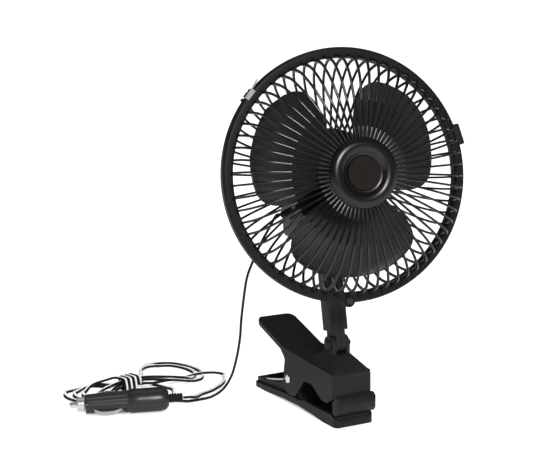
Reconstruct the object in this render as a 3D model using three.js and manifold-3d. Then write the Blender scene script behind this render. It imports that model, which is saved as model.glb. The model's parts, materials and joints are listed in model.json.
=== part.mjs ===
// Clip fan: oscillating fan head on a leaning post, spring clip, twin lead and vehicle plug.
// Millimetres, +Z up, the fan blows towards -Y. The clip stands on its lower jaw.
import * as THREE from "three";
import { mergeGeometries, mergeVertices } from "three/addons/utils/BufferGeometryUtils.js";
import Module from "manifold-3d";

const wasm = await Module();
wasm.setup();

// ---------------------------------------------------------------- driving sizes
const FIT = 0.3; // clearance wherever two pieces touch

// pose of the stack
const REST_Y = 19.5; // moves the middle of the nose's flat underside to the origin
const HINGE_Z = 65; // tilt hinge above the floor
const LEAN = 10.6; // post leans back, degrees
const HEAD_Z = 142.7; // fan axis above the tilt hinge, along the post
const HEAD_TURN = 11.3; // head turned about the post axis, degrees

// guard
const RIBS = 60;
const RIB_WIDTH = 1.7;
const RIB_DEPTH = 2.6;
const RING_Y = 60; // ring plane ahead of the post axis
const RING_R = 104;
const RIM_WIDTH = 8.6;
const RING_BORE = RING_R - RIM_WIDTH;
const RIM_DEPTH = 5;
const FRONT_PLATE_R = 28.75;
const REAR_PLATE_R = 40.5;
const BADGE_R = 13.7;
const LATCH_ANGLE = 136.5;
const CLIP_ANGLE = 13.6;
const SCREW_ANGLE = -94.6;

// impeller
const BLADES = 3;
const BLADE_ANGLE = 31;
const BLADE_TIP = 83.5;
const BLADE_PITCH = 10.5;
const BLADE_WALL = 1.6;
const HUB_R = 14.5;
const SHAFT_R = 1.6;

// motor and its housing
const CASE_HALF = 26.5;
const CASE_FRONT = 22.2;
const CASE_BACK = 40;
const CASE_SPLIT = 20;
const CASE_BOTTOM = 48.5;
const CASE_TOP = 30;
const CASE_WALL = 2;
const CAN_R = 17;
const CAN_FRONT = 20;
const CAN_BACK = 14;
const NECK_R = 8.1;
const WHEEL_X = 11.1;
const WHEEL_Y = 25.5;
const WHEEL_R = 7.2;
const CRANK = 5.2;
const CRANK_ANGLE = 10.4;
const LINK_PIN = 9.5;

// post
const POST_HALF = 8.5;
const POST_STEP = 12;
const POST_TOP = 93.9;
const POST_WALL = 1.8;
const TONGUE_HALF = 4.7;
const TONGUE_R = 7.5;
const BOLT_R = 2;

// clip
const CLIP_HALF = 19;
const CLIP_WALL = 2.3;
const TRAY_HALF = 16;
const PIN_Y = 52;
const PIN_Z = 22.5;
const PIN_R = 2.2;
const SPRING_WIRE = 0.8; // radius
const SPRING_R = 4.4;
const SPRING_CURLS = 6;
const SPRING_PITCH = 2.8;

// lead and plug
const LEAD_WIDTH = 4;
const LEAD_THICK = 2;
const DROP_SPLIT_R = 97.4; // from the tilt hinge to where the drop is parted
const LOOPS = 3;
const WRAPS = 4;
const PLUG_AT = [-108, 82.7, 11.6];
const PLUG_TURN = 158.95;
const PLUG_TILT = 1.2;
const PLUG_R = 10.6;
const PLUG_NOSE_R = 8.5;

// ---------------------------------------------------------------- finishes
const FINISH = {
  gloss: { color: 0x1b1b1d, roughness: 0.3, metalness: 0 },
  body: { color: 0x202022, roughness: 0.45, metalness: 0 },
  label: { color: 0x2a1c1c, roughness: 0.7, metalness: 0 },
  grey: { color: 0x6f7173, roughness: 0.5, metalness: 0 },
  rubber: { color: 0x171718, roughness: 0.8, metalness: 0 },
  steel: { color: 0xb9bcc0, roughness: 0.35, metalness: 1 },
  chrome: { color: 0xe2e4e6, roughness: 0.15, metalness: 1 },
  brass: { color: 0xb58a45, roughness: 0.35, metalness: 1 },
  copper: { color: 0xa85a32, roughness: 0.45, metalness: 1 },
  ferrite: { color: 0x3a3838, roughness: 0.8, metalness: 0.1 },
  nylon: { color: 0xe8e4d8, roughness: 0.6, metalness: 0 },
  lead: { color: 0x141414, roughness: 0.5, metalness: 0 },
  glass: { color: 0xcfd8d8, roughness: 0.1, metalness: 0 },
};

// ---------------------------------------------------------------- helpers
const rad = (d) => (d * Math.PI) / 180;
const fan = new THREE.Group();
fan.name = "clip_fan";
const IN_WORLD = new THREE.Matrix4().makeTranslation(0, REST_Y, 0);
const ON_POST = IN_WORLD.clone()
  .multiply(new THREE.Matrix4().makeTranslation(0, 0, HINGE_Z))
  .multiply(new THREE.Matrix4().makeRotationX(-rad(LEAN)));
const ON_HEAD = ON_POST.clone()
  .multiply(new THREE.Matrix4().makeTranslation(0, 0, HEAD_Z))
  .multiply(new THREE.Matrix4().makeRotationZ(-rad(HEAD_TURN)));
const ON_PLUG = IN_WORLD.clone()
  .multiply(new THREE.Matrix4().makeTranslation(...PLUG_AT))
  .multiply(new THREE.Matrix4().makeRotationZ(rad(PLUG_TURN)))
  .multiply(new THREE.Matrix4().makeRotationY(rad(PLUG_TILT)));

// bare positions with shared vertices and no collapsed triangles, facing outwards
function bare(geometry) {
  const g = geometry.clone();
  for (const key of Object.keys(g.attributes)) if (key !== "position") g.deleteAttribute(key);
  const m = mergeVertices(g, 1e-4);
  const keep = [];
  const ix = m.index.array;
  for (let i = 0; i < ix.length; i += 3) {
    const [a, b, c] = [ix[i], ix[i + 1], ix[i + 2]];
    if (a !== b && b !== c && a !== c) keep.push(a, b, c);
  }
  const p = m.attributes.position;
  let volume = 0;
  const v = [new THREE.Vector3(), new THREE.Vector3(), new THREE.Vector3()];
  for (let i = 0; i < keep.length; i += 3) {
    v.forEach((q, k) => q.fromBufferAttribute(p, keep[i + k]));
    volume += v[0].dot(v[1].clone().cross(v[2]));
  }
  if (volume < 0) for (let i = 0; i < keep.length; i += 3) [keep[i], keep[i + 1]] = [keep[i + 1], keep[i]];
  m.setIndex(keep);
  return m;
}
function solid(geometry) {
  const b = bare(geometry);
  return new wasm.Manifold(
    new wasm.Mesh({
      numProp: 3,
      vertProperties: new Float32Array(b.attributes.position.array),
      triVerts: new Uint32Array(b.index.array),
    }),
  );
}
function shape(manifold) {
  const mesh = manifold.getMesh();
  const g = new THREE.BufferGeometry();
  g.setAttribute("position", new THREE.BufferAttribute(new Float32Array(mesh.vertProperties), 3));
  g.setIndex(new THREE.BufferAttribute(new Uint32Array(mesh.triVerts), 1));
  return g;
}
const join = (...list) => shape(list.map(solid).reduce((a, b) => a.add(b)));
const cut = (base, ...tools) => shape(tools.map(solid).reduce((a, b) => a.subtract(b), solid(base)));
const common = (a, b) => shape(solid(a).intersect(solid(b)));
const together = (list) => mergeGeometries(list.map(bare));
const moved = (g, x, y, z) => g.clone().translate(x, y, z);

function add(name, geometry, finish, frame) {
  const g = bare(geometry);
  g.applyMatrix4(frame);
  g.computeVertexNormals();
  const mesh = new THREE.Mesh(g, new THREE.MeshStandardMaterial(FINISH[finish]));
  mesh.name = name;
  fan.add(mesh);
}
function box(x0, x1, y0, y1, z0, z1) {
  const g = new THREE.BoxGeometry(x1 - x0, y1 - y0, z1 - z0);
  return g.translate((x0 + x1) / 2, (y0 + y1) / 2, (z0 + z1) / 2);
}
// round bar along an axis, through the point `at` in the plane square to it
function rod(axis, radius, from, to, at = [0, 0], sides = 20, endRadius = radius) {
  const g = new THREE.CylinderGeometry(endRadius, radius, to - from, sides);
  g.translate(0, (from + to) / 2, 0); // along +Y
  if (axis === "z") g.rotateX(Math.PI / 2).translate(at[0], at[1], 0);
  if (axis === "x") g.rotateZ(-Math.PI / 2).translate(0, at[0], at[1]);
  if (axis === "y") g.translate(at[0], 0, at[1]);
  return g;
}
// ring or disc about Y from (radius, y) points
function turned(points, sides = 32, start = 0) {
  const list = points.map(([r, y]) => new THREE.Vector2(r, y));
  if (list[0].x > 0 || list.at(-1).x > 0) list.push(list[0].clone());
  return new THREE.LatheGeometry(list, sides, start, Math.PI * 2);
}
const turnedZ = (points, sides) => turned(points, sides).rotateX(Math.PI / 2);
const turnedX = (points, sides) => turned(points, sides).rotateZ(-Math.PI / 2);
// outline with rounded corners: [x, y, radius]
function outline(points, steps = 2) {
  const s = new THREE.Shape();
  const n = points.length;
  const out = [];
  for (let i = 0; i < n; i++) {
    const [x, y, r = 0] = points[i];
    if (!r) {
      out.push(new THREE.Vector2(x, y));
      continue;
    }
    const here = new THREE.Vector2(x, y);
    const a = new THREE.Vector2(...points[(i + n - 1) % n].slice(0, 2)).sub(here).normalize();
    const b = new THREE.Vector2(...points[(i + 1) % n].slice(0, 2)).sub(here).normalize();
    const half = Math.acos(THREE.MathUtils.clamp(a.dot(b), -1, 1)) / 2;
    const centre = here.clone().add(a.clone().add(b).normalize().multiplyScalar(r / Math.sin(half)));
    const p = here.clone().add(a.clone().multiplyScalar(r / Math.tan(half))).sub(centre);
    const q = here.clone().add(b.clone().multiplyScalar(r / Math.tan(half))).sub(centre);
    let turn = Math.atan2(p.x * q.y - p.y * q.x, p.dot(q));
    for (let k = 0; k <= steps; k++) {
      out.push(p.clone().rotateAround(new THREE.Vector2(), (turn * k) / steps).add(centre));
    }
  }
  s.setFromPoints(out);
  return s;
}
// prism of a (y, z) outline from x0 to x1
function alongX(points, x0, x1, steps) {
  const g = new THREE.ExtrudeGeometry(outline(points, steps), { depth: x1 - x0, bevelEnabled: false });
  const basis = new THREE.Matrix4().makeBasis(
    new THREE.Vector3(0, 1, 0), new THREE.Vector3(0, 0, 1), new THREE.Vector3(1, 0, 0));
  return g.applyMatrix4(basis).translate(x0, 0, 0);
}
// prism of an (x, y) outline from z0 to z1
function alongZ(points, z0, z1, steps) {
  const g = new THREE.ExtrudeGeometry(outline(points, steps), { depth: z1 - z0, bevelEnabled: false });
  return g.translate(0, 0, z0);
}
const rect = (x0, x1, y0, y1, r = 0) => [[x0, y0, r], [x1, y0, r], [x1, y1, r], [x0, y1, r]];

// ---------------------------------------------------------------- guard
// Local to the head: +X right, -Y the way the air leaves, +Z up, fan axis on Y.
const half = Math.PI / RIBS;
const ahead = (f) => -RING_Y - f; // f is measured forwards from the ring plane
const atAngle = (g, degrees) => g.rotateY(-rad(degrees));

// one rib: a flat strip in the plane of the fan axis, bent along `path` of (radius, f)
function rib(path, angle) {
  const outer = [];
  const inner = [];
  path.forEach(([r, f], i) => {
    const a = path[Math.max(i - 1, 0)];
    const b = path[Math.min(i + 1, path.length - 1)];
    const d = new THREE.Vector2(b[0] - a[0], b[1] - a[1]).normalize();
    outer.push(new THREE.Vector2(r - (d.y * RIB_DEPTH) / 2, ahead(f + (d.x * RIB_DEPTH) / 2)));
    inner.push(new THREE.Vector2(r + (d.y * RIB_DEPTH) / 2, ahead(f - (d.x * RIB_DEPTH) / 2)));
  });
  const s = new THREE.Shape(outer.concat(inner.reverse()));
  const g = new THREE.ExtrudeGeometry(s, { depth: RIB_WIDTH, bevelEnabled: false });
  return atAngle(g.translate(0, 0, -RIB_WIDTH / 2), angle);
}
const ribs = (path) => together(Array.from({ length: RIBS }, (_, i) => rib(path, (i * 360) / RIBS)));
const profile = (list) => turned(list.map(([r, f]) => [r, ahead(f)]), RIBS, half);

const frontRim = profile([[RING_BORE, FIT / 2], [RING_R, FIT / 2], [RING_R - 0.4, RIM_DEPTH], [RING_BORE, RIM_DEPTH]]);
const rearRim = profile([[RING_BORE, -FIT / 2], [RING_R, -FIT / 2], [RING_R - 0.4, -RIM_DEPTH], [RING_BORE, -RIM_DEPTH]]);
const hubPlate = join(profile([[0, 40], [FRONT_PLATE_R, 40], [FRONT_PLATE_R, 43.4], [0, 43.4]]),
  turned([[BADGE_R + FIT, 42], [26.8, 42], [26.8, 44.6], [24.6, 46.9], [21.4, 47.6], [18, 46.8],
    [BADGE_R + FIT, 45]].map(([r, f]) => [r, ahead(f)]), 24));
const frontPath = [[FRONT_PLATE_R - 1.75, 42], [RING_BORE - 19.4, 35.4], [RING_BORE - 3.8, 24], [RING_BORE + 2, 3]];
const rearPath = [[REAR_PLATE_R - 1.3, -35.6], [RING_BORE - 18.4, -31], [RING_BORE - 3.4, -20.4], [RING_BORE + 2, -3]];

const lugR = RING_R - 1.5;
const lug = (f0, f1, r) => atAngle(rod("y", r, ahead(f1), ahead(f0), [lugR, 0], 12), SCREW_ANGLE);
add("front_guard", cut(join(ribs(frontPath), frontRim, hubPlate, lug(FIT / 2, 5.2, 5)), lug(-8, 8, 1.5)),
  "gloss", ON_HEAD);

// the rear plate is ringed round the motor nose, with a hinge lug for the latch lever
const rearPlate = cut(profile([[0, -37.4], [REAR_PLATE_R, -37.4], [REAR_PLATE_R, -33.8], [0, -33.8]]),
  rod("y", 9, -40, 0, [0, 0], 20));
const beyond = (d, f) => [RING_R + d, ahead(f)]; // d outwards from the rim
const latchPin = beyond(2.4, -8.4);
const hingeLug = (t0, t1) => atAngle(
  alongZ([beyond(-4.6, -4.4), beyond(-0.4, -4.4), [...beyond(4.4, -7), 1.6],
    [...beyond(4.4, -10.4), 1.8], [...beyond(0, -10.4), 1.8]], t0, t1), LATCH_ANGLE);
const latchBore = atAngle(rod("z", 1.1, -9, 9, latchPin, 12), LATCH_ANGLE);
add("rear_guard", cut(
  join(ribs(rearPath), rearRim, rearPlate, lug(-6, -FIT / 2, 5), hingeLug(-6.2, -3.9), hingeLug(3.9, 6.2)),
  lug(-8, 1, 1.5), latchBore), "gloss", ON_HEAD);

add("hub_badge", turned([[0, ahead(43.9)], [BADGE_R, ahead(43.9)], [BADGE_R, ahead(45.7)],
  [BADGE_R - 0.5, ahead(46.1)], [0, ahead(46.1)]], 24), "label", ON_HEAD);

// latch lever: barrel between the lugs, block over both rims, thin tongue along the ring
const catchOver = [beyond(FIT, RIM_DEPTH + FIT), beyond(-3.4, RIM_DEPTH + FIT), beyond(-3.4, RIM_DEPTH + 1.7),
  [...beyond(2.8, RIM_DEPTH + 1.9), 0.8], [...beyond(3.9, 4), 1]];
const latchBody = alongZ([beyond(FIT, -5.6), ...catchOver, beyond(3.9, -5.6), [...beyond(4, -9), 1],
  [...beyond(1, -10.2), 1], beyond(0.6, -7.2)], -3.6, 3.6, 2);
const latchSides = alongZ([beyond(FIT, -4), ...catchOver, beyond(3.9, -4)], -6.4, 6.4, 2);
const latchTongue = alongZ([beyond(1.4, -3), beyond(1.4, 3), beyond(3.2, 3), beyond(3.2, -3)], -13.5, -6, 2);
add("guard_latch", atAngle(join(latchBody, latchSides, latchTongue,
  rod("z", 0.8, -5.9, 5.9, latchPin, 12)), LATCH_ANGLE), "grey", ON_HEAD);

// snap clip gripping both rims on the right
const jawIn = RIM_DEPTH + FIT;
add("guard_clip", atAngle(alongZ([beyond(0.4, -jawIn), beyond(0.4, jawIn), beyond(-3.2, jawIn),
  beyond(-3.2, jawIn + 1.2), [...beyond(1.6, jawIn + 1.4), 0.8], [...beyond(3.6, 4.6), 1.2],
  [...beyond(3.6, -4.6), 1.2], [...beyond(1.6, -jawIn - 1.4), 0.8], beyond(-3.2, -jawIn - 1.2),
  beyond(-3.2, -jawIn)], -8.6, 8.6, 2), CLIP_ANGLE), "gloss", ON_HEAD);

add("guard_screw", join(lug(-5.4, 6, 1.2), cut(lug(5.5, 7, 2.7),
  atAngle(box(lugR - 2.2, lugR + 2.2, ahead(8), ahead(6.3), -0.4, 0.4), SCREW_ANGLE))), "steel", ON_HEAD);

// ---------------------------------------------------------------- impeller
// one blade: half-width angle by radius, helical camber, constant wall
const bladeRows = [[12.5, 33], [32, 46], [54, 49], [66, 46], [BLADE_TIP - 9.5, 42], [BLADE_TIP - 4, 35.5],
  [BLADE_TIP, 16]];
const BLADE_COLS = 6;
function blade(angle) {
  const pts = [];
  const index = [];
  const put = (r, a, y) => pts.push(r * Math.cos(a), y, r * Math.sin(a));
  for (const side of [-0.5, 0.5]) {
    for (const [r, width] of bladeRows) {
      for (let j = 0; j <= BLADE_COLS; j++) {
        const s = (2 * j) / BLADE_COLS - 1;
        const a = rad(angle + s * width);
        const reach = Math.min(1, (r * width) / (54 * 49.5));
        const camber = 2.4 * (1 - s * s) * Math.min(1, r / 60);
        put(r, a, -RING_Y - BLADE_PITCH * s * (0.45 + 0.55 * reach) - camber + side * BLADE_WALL);
      }
    }
  }
  const n = BLADE_COLS + 1;
  const rows = bladeRows.length;
  const at = (k, i, j) => k * rows * n + i * n + j;
  const quad = (a, b, c, d) => index.push(a, b, c, a, c, d);
  for (let i = 0; i < rows - 1; i++) {
    for (let j = 0; j < BLADE_COLS; j++) {
      quad(at(0, i, j), at(0, i, j + 1), at(0, i + 1, j + 1), at(0, i + 1, j));
      quad(at(1, i, j), at(1, i + 1, j), at(1, i + 1, j + 1), at(1, i, j + 1));
    }
    quad(at(0, i, 0), at(0, i + 1, 0), at(1, i + 1, 0), at(1, i, 0));
    quad(at(0, i + 1, BLADE_COLS), at(0, i, BLADE_COLS), at(1, i, BLADE_COLS), at(1, i + 1, BLADE_COLS));
  }
  for (let j = 0; j < BLADE_COLS; j++) {
    quad(at(0, 0, j + 1), at(0, 0, j), at(1, 0, j), at(1, 0, j + 1));
    quad(at(0, rows - 1, j), at(0, rows - 1, j + 1), at(1, rows - 1, j + 1), at(1, rows - 1, j));
  }
  const g = new THREE.BufferGeometry();
  g.setAttribute("position", new THREE.Float32BufferAttribute(pts, 3));
  g.setIndex(index);
  return g;
}
const boreR = SHAFT_R + FIT;
const hub = turned([[boreR, -73], [11, -73], [HUB_R, -69], [HUB_R, -50], [HUB_R - 2, -50],
  [HUB_R - 2, -66], [5.4, -66], [5.4, -49], [boreR, -49]], 16);
add("fan_blade", join(hub, ...Array.from({ length: BLADES }, (_, i) => {
  const b = blade(BLADE_ANGLE + (i * 360) / BLADES);
  return cut(b, rod("y", HUB_R - 1, -90, -30, [0, 0], 12));
})), "gloss", ON_HEAD);
add("blade_nut", turned([[boreR, -79.5], [3.4, -79.5], [4.6, -78.4], [6.4, -77.6], [7, -76.4],
  [7, -73.3], [boreR, -73.3]], 8), "body", ON_HEAD);

// ---------------------------------------------------------------- motor
add("motor_shaft", turned([[0, -78.6], [SHAFT_R, -78.2], [SHAFT_R, 28.4], [0, 28.8]], 10), "steel", ON_HEAD);
add("motor_can", turned([[4.5, -CAN_FRONT], [CAN_R - 1, -CAN_FRONT], [CAN_R, 1 - CAN_FRONT],
  [CAN_R, CAN_BACK], [CAN_R - 1, CAN_BACK], [CAN_R - 1, 1.2 - CAN_FRONT], [4.5, 1.2 - CAN_FRONT]], 16),
  "steel", ON_HEAD);
add("motor_end_cap", turned([[4.5, CAN_BACK + FIT], [CAN_R, CAN_BACK + FIT], [CAN_R, CAN_BACK + 2.6],
  [6.4, CAN_BACK + 2.8], [6.4, CAN_BACK + 4], [4.5, CAN_BACK + 4]], 16),
  "nylon", ON_HEAD);
const bush = (y0, y1) => turned([[boreR, y0], [4.2, y0], [4.2, y1], [boreR, y1]], 10);
add("front_bush", bush(-CAN_FRONT - 1.6, -CAN_FRONT + 3.4), "brass", ON_HEAD);
add("rear_bush", bush(CAN_BACK + FIT, CAN_BACK + 4.6), "brass", ON_HEAD);
function arcBlock(r0, r1, a0, a1, y0, y1, n = 4) {
  const pts = [];
  for (let k = 0; k <= n; k++) pts.push([r1, a0 + ((a1 - a0) * k) / n]);
  for (let k = n; k >= 0; k--) pts.push([r0, a0 + ((a1 - a0) * k) / n]);
  const s = new THREE.Shape(pts.map(([r, a]) => new THREE.Vector2(r * Math.cos(rad(a)), r * Math.sin(rad(a)))));
  const g = new THREE.ExtrudeGeometry(s, { depth: y1 - y0, bevelEnabled: false });
  return g.rotateX(-Math.PI / 2).translate(0, y0, 0);
}
add("motor_magnet_right", arcBlock(12.9, CAN_R - 1 - FIT, -62, 62, -13, 9), "ferrite", ON_HEAD);
add("motor_magnet_left", arcBlock(12.9, CAN_R - 1 - FIT, 118, 242, -13, 9), "ferrite", ON_HEAD);
// three-pole core with its windings
const core = turned([[boreR, -9], [5, -9], [5, 5], [boreR, 5]], 9);
const pole = (a) => join(arcBlock(10.2, 12.3, a - 42, a + 42, -8, 4, 2),
  box(4, 10.8, -8, 4, -2.2, 2.2).rotateY(-rad(a)));
const winding = (a) => box(5.6, 9.8, -10, 5, -4.2, 4.2).rotateY(-rad(a));
add("rotor_core", join(core, pole(90), pole(210), pole(330), winding(90), winding(210), winding(330)),
  "copper", ON_HEAD);
add("commutator", turned([[boreR, 5.3], [4.4, 5.3], [4.4, 6.3], [3.6, 6.5], [3.6, 11], [boreR, 11]], 12),
  "brass", ON_HEAD);
const brush = (side) => join(box(3.95, 8.6, 7.4, 10.2, -1.6, 1.6), box(7.4, 8.6, 7.4, CAN_BACK, -1.6, 1.6))
  .rotateY(side > 0 ? 0 : Math.PI);
add("motor_brush_right", brush(1), "ferrite", ON_HEAD);
add("motor_brush_left", brush(-1), "ferrite", ON_HEAD);

// worm on the shaft's tail, wheel with its crank below
const wormPoints = [[boreR, 19.4]];
for (let k = 0; k < 4; k++) {
  const y = 19.4 + k * 2.1;
  wormPoints.push([2.5, y], [3.3, y + 0.8]);
}
wormPoints.push([2.5, 27.6], [boreR, 27.6]);
add("worm", turned(wormPoints, 10), "brass", ON_HEAD);
const toothed = [];
for (let k = 0; k < 28; k++) {
  const r = k % 2 ? WHEEL_R : WHEEL_R - 0.9;
  toothed.push([WHEEL_X + r * Math.cos((k * Math.PI) / 14), WHEEL_Y + r * Math.sin((k * Math.PI) / 14)]);
}
const crankX = WHEEL_X + CRANK * Math.cos(rad(CRANK_ANGLE));
const crankY = WHEEL_Y + CRANK * Math.sin(rad(CRANK_ANGLE));
add("worm_wheel", join(alongZ(toothed, -2.4, 2.4), rod("z", 2, -17, 4.4, [WHEEL_X, WHEEL_Y], 8),
  rod("z", 7.4, -17, -14.6, [WHEEL_X, WHEEL_Y], 12), rod("z", 1.3, -19.2, -16, [crankX, crankY], 6)),
  "nylon", ON_HEAD);

// ---------------------------------------------------------------- motor housing
// upright outline with a domed top, flat bottom and a bevel at the rear edge
const caseOutline = (inset) => [
  [-CASE_HALF + inset, -CASE_BOTTOM + inset, 5 - inset], [CASE_HALF - inset, -CASE_BOTTOM + inset, 5 - inset],
  [CASE_HALF - inset, CASE_TOP - inset, 19 - inset], [-CASE_HALF + inset, CASE_TOP - inset, 19 - inset]];
function casing(inset, y0, y1, bevel) {
  const g = new THREE.ExtrudeGeometry(outline(caseOutline(inset + bevel), inset ? 2 : 3), {
    depth: y1 - y0 - 2 * bevel, bevelThickness: bevel, bevelSize: bevel, bevelSegments: 1 });
  // outline x stays x, outline y becomes z, depth runs along y
  const basis = new THREE.Matrix4().makeBasis(
    new THREE.Vector3(1, 0, 0), new THREE.Vector3(0, 0, 1), new THREE.Vector3(0, -1, 0));
  return g.applyMatrix4(basis).translate(0, y1 - bevel, 0);
}
const wheelBearing = (z0, z1) => rod("z", 4, z0, z1, [WHEEL_X, WHEEL_Y], 8);
const frontHalf = common(casing(0, -CASE_FRONT, CASE_BACK, 3), box(-40, 40, -30, CASE_SPLIT, -60, 40));
const inner = casing(CASE_WALL, -CASE_FRONT + CASE_WALL, CASE_BACK - CASE_WALL, 2);
const socket = cut(rod("z", 10.8, -CASE_BOTTOM + 1, -24.3, [0, 0], 20), rod("z", NECK_R + FIT, -60, -20, [0, 0], 20));
const glandHole = rod("x", 2.6, -40, -20, [12, -28], 12);
const COVER_SCREW = [22, -44]; // in the lower corners
const screwBoss = (y0, y1, bore) => [-1, 1].map((side) => cut(
  rod("y", 3.2, y0, y1, [side * COVER_SCREW[0], COVER_SCREW[1]], 6),
  rod("y", bore, y0 - 1, y1 + 1, [side * COVER_SCREW[0], COVER_SCREW[1]], 6)));
const canCradle = cut(together([box(-24.8, -17.6, -8, 6, -1.4, 1.4), box(17.6, 24.8, -8, 6, -1.4, 1.4)]),
  rod("y", CAN_R + FIT, -20, 20, [0, 0], 20));
add("motor_housing", join(cut(frontHalf, inner, rod("y", 4.5, -40, -10, [0, 0], 20),
  rod("z", NECK_R + FIT, -60, -40, [0, 0], 20), glandHole), socket, canCradle,
  ...screwBoss(12, CASE_SPLIT, 1.5)), "body", ON_HEAD);

const backHalf = common(casing(0, -CASE_FRONT, CASE_BACK, 3), box(-40, 40, CASE_SPLIT + FIT, 50, -60, 40));
const ROCKER_Y = 36.2;
const ROCKER_Z = 12;
const rockerLug = (x0, x1) => box(x0, x1, 33.4, 38.6, ROCKER_Z - 2.6, ROCKER_Z + 2.6);
const wheelSeat = join(box(WHEEL_X - 4, WHEEL_X + 4, WHEEL_Y, 38.6, 5, 7.4), wheelBearing(5, 7.4));
const wheelHole = rod("z", 2 + 1.5 * FIT, -13, 6.2, [WHEEL_X, WHEEL_Y], 8);
add("motor_cover", cut(
  join(cut(backHalf, inner), rockerLug(5.2, 7.2), rockerLug(-7.2, -5.2), wheelSeat,
    rod("z", 5.6, CASE_TOP - 4.6, CASE_TOP - 0.6, [0, 30], 12), ...screwBoss(CASE_SPLIT + FIT, CASE_BACK - 1, 1.5)),
  ...[-1, 1].map((side) => rod("y", 1.5, CASE_BACK - 3, CASE_BACK + 1, [side * COVER_SCREW[0], COVER_SCREW[1]], 6)),
  wheelHole, box(-4.9, 4.9, 30, 50, ROCKER_Z - 8.4, ROCKER_Z + 8.4),
  rod("x", 1.2, -8, 8, [ROCKER_Y, ROCKER_Z], 8), rod("z", 3.3, 20, 40, [0, 30], 12)), "body", ON_HEAD);

const coverScrew = (x, z) => join(rod("y", 1.2, CASE_BACK - 25, CASE_BACK + 0.6, [x, z], 10),
  rod("y", 2.4, CASE_BACK + FIT, CASE_BACK + 1.7, [x, z], 14));
add("cover_screw_left", coverScrew(-COVER_SCREW[0], COVER_SCREW[1]), "steel", ON_HEAD);
add("cover_screw_right", coverScrew(COVER_SCREW[0], COVER_SCREW[1]), "steel", ON_HEAD);

add("power_switch", join(
  alongX([[33.4, ROCKER_Z - 6.4], [39.6, ROCKER_Z - 6.4], [41.3, ROCKER_Z], [39.6, ROCKER_Z + 6.4],
    [33.4, ROCKER_Z + 6.4]], -4.5, 4.5),
  rod("x", 0.9, -6.8, 6.8, [ROCKER_Y, ROCKER_Z], 12))
  .translate(0, -ROCKER_Y, -ROCKER_Z).rotateX(rad(-10)).translate(0, ROCKER_Y, ROCKER_Z), "gloss", ON_HEAD);
add("oscillation_knob", turnedZ([[0, 20.6], [4.4, 20.6], [4.4, 22.2], [3, 22.4], [3, 31], [5.2, 31.4], [5.2, 35.2],
  [4.6, 36], [0, 36]], 12)
  .translate(0, 30, 0), "gloss", ON_HEAD);

// gland where the lead leaves the housing's left side
add("cord_gland", turnedX([[0, -35], [2.6, -35], [3.2, -31], [4.2, -27.6], [5, -27], [5, -26.8], [2.3, -26.8],
  [2.3, -24], [3.6, -23.8], [3.6, -22.4], [0, -22.4]], 10).translate(0, 12, -28), "rubber", ON_HEAD);

// ---------------------------------------------------------------- neck and drive link
const headToPost = (z) => HEAD_Z + z; // height on the post of a height in the head
add("neck_pivot", turnedZ([[3.2, 84], [6.4, 84], [6.4, 89.4], [5.2, 89.6], [5.2, 94.2], [NECK_R, 94.2],
  [NECK_R, headToPost(-24.3)], [4, headToPost(-24.3)], [4, headToPost(-21.8)], [3.2, headToPost(-21.8)]],
  14), "nylon", ON_POST);
const plateZ = headToPost(-24);
add("link_plate", join(cut(rod("z", 12, plateZ, plateZ + 1.8, [0, 0], 20), rod("z", 4.3, 0, 200, [0, 0], 16)),
  rod("z", 1.4, plateZ + 1, plateZ + 5.2, [LINK_PIN, 0], 8)), "steel", ON_POST);
const linkTurn = rad(HEAD_TURN);
const pinX = LINK_PIN * Math.cos(linkTurn);
const pinY = LINK_PIN * Math.sin(linkTurn);
const linkLength = Math.hypot(crankX - pinX, crankY - pinY);
const linkAngle = Math.atan2(crankY - pinY, crankX - pinX);
add("drive_link", cut(
  join(alongZ(rect(0, linkLength, -1.9, 1.9), -21.4, -19.6), rod("z", 3.2, -21.4, -19.6, [0, 0], 10),
    rod("z", 3.2, -21.4, -19.6, [linkLength, 0], 10)),
  rod("z", 1.7, -30, -10, [0, 0], 8), rod("z", 1.7, -30, -10, [linkLength, 0], 8))
  .rotateZ(linkAngle).translate(pinX, pinY, 0), "nylon", ON_HEAD);

// ---------------------------------------------------------------- post
const shaftBox = alongZ(rect(-POST_HALF, POST_HALF, -POST_HALF, POST_HALF, 2.6), POST_STEP, POST_TOP, 2);
const tongue = alongX([[-TONGUE_R, 14], [-TONGUE_R, 0], ...Array.from({ length: 7 }, (_, k) => [
  -TONGUE_R * Math.cos((Math.PI * (k + 1)) / 8), -TONGUE_R * Math.sin((Math.PI * (k + 1)) / 8)]),
  [TONGUE_R, 0], [TONGUE_R, 14]].reverse(), -TONGUE_HALF, TONGUE_HALF);
const hollow = alongZ(rect(-POST_HALF + POST_WALL, POST_HALF - POST_WALL, -POST_HALF + POST_WALL,
  POST_HALF - POST_WALL), POST_STEP + 4, POST_TOP - 2.4);
const boss = (z) => rod("x", 3, -7.4, 7.4, [0, z], 8);
const screwHole = (z) => join(rod("x", 1.4, -5.6, 9, [0, z], 8), rod("x", 2.7, 6.6, 9, [0, z], 12));
const POST_SCREWS = [26, 70];
const wholePost = cut(join(cut(join(shaftBox, tongue), hollow), ...POST_SCREWS.map(boss)),
  ...POST_SCREWS.map(screwHole), rod("x", BOLT_R + FIT, -20, 20, [0, 0], 12),
  rod("z", 5.6, POST_TOP - 4, POST_TOP + 1, [0, 0], 16));
add("post_left_half", common(wholePost, box(-20, -FIT / 2, -20, 20, -20, 120)), "body", ON_POST);
add("post_right_half", common(wholePost, box(FIT / 2, 20, -20, 20, -20, 120)), "body", ON_POST);
const postScrew = (z) => join(rod("x", 1.05, -5, 7, [0, z], 8), rod("x", 2.4, 6.9, 8.3, [0, z], 12));
add("post_screw_lower", postScrew(POST_SCREWS[0]), "steel", ON_POST);
add("post_screw_upper", postScrew(POST_SCREWS[1]), "steel", ON_POST);

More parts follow.
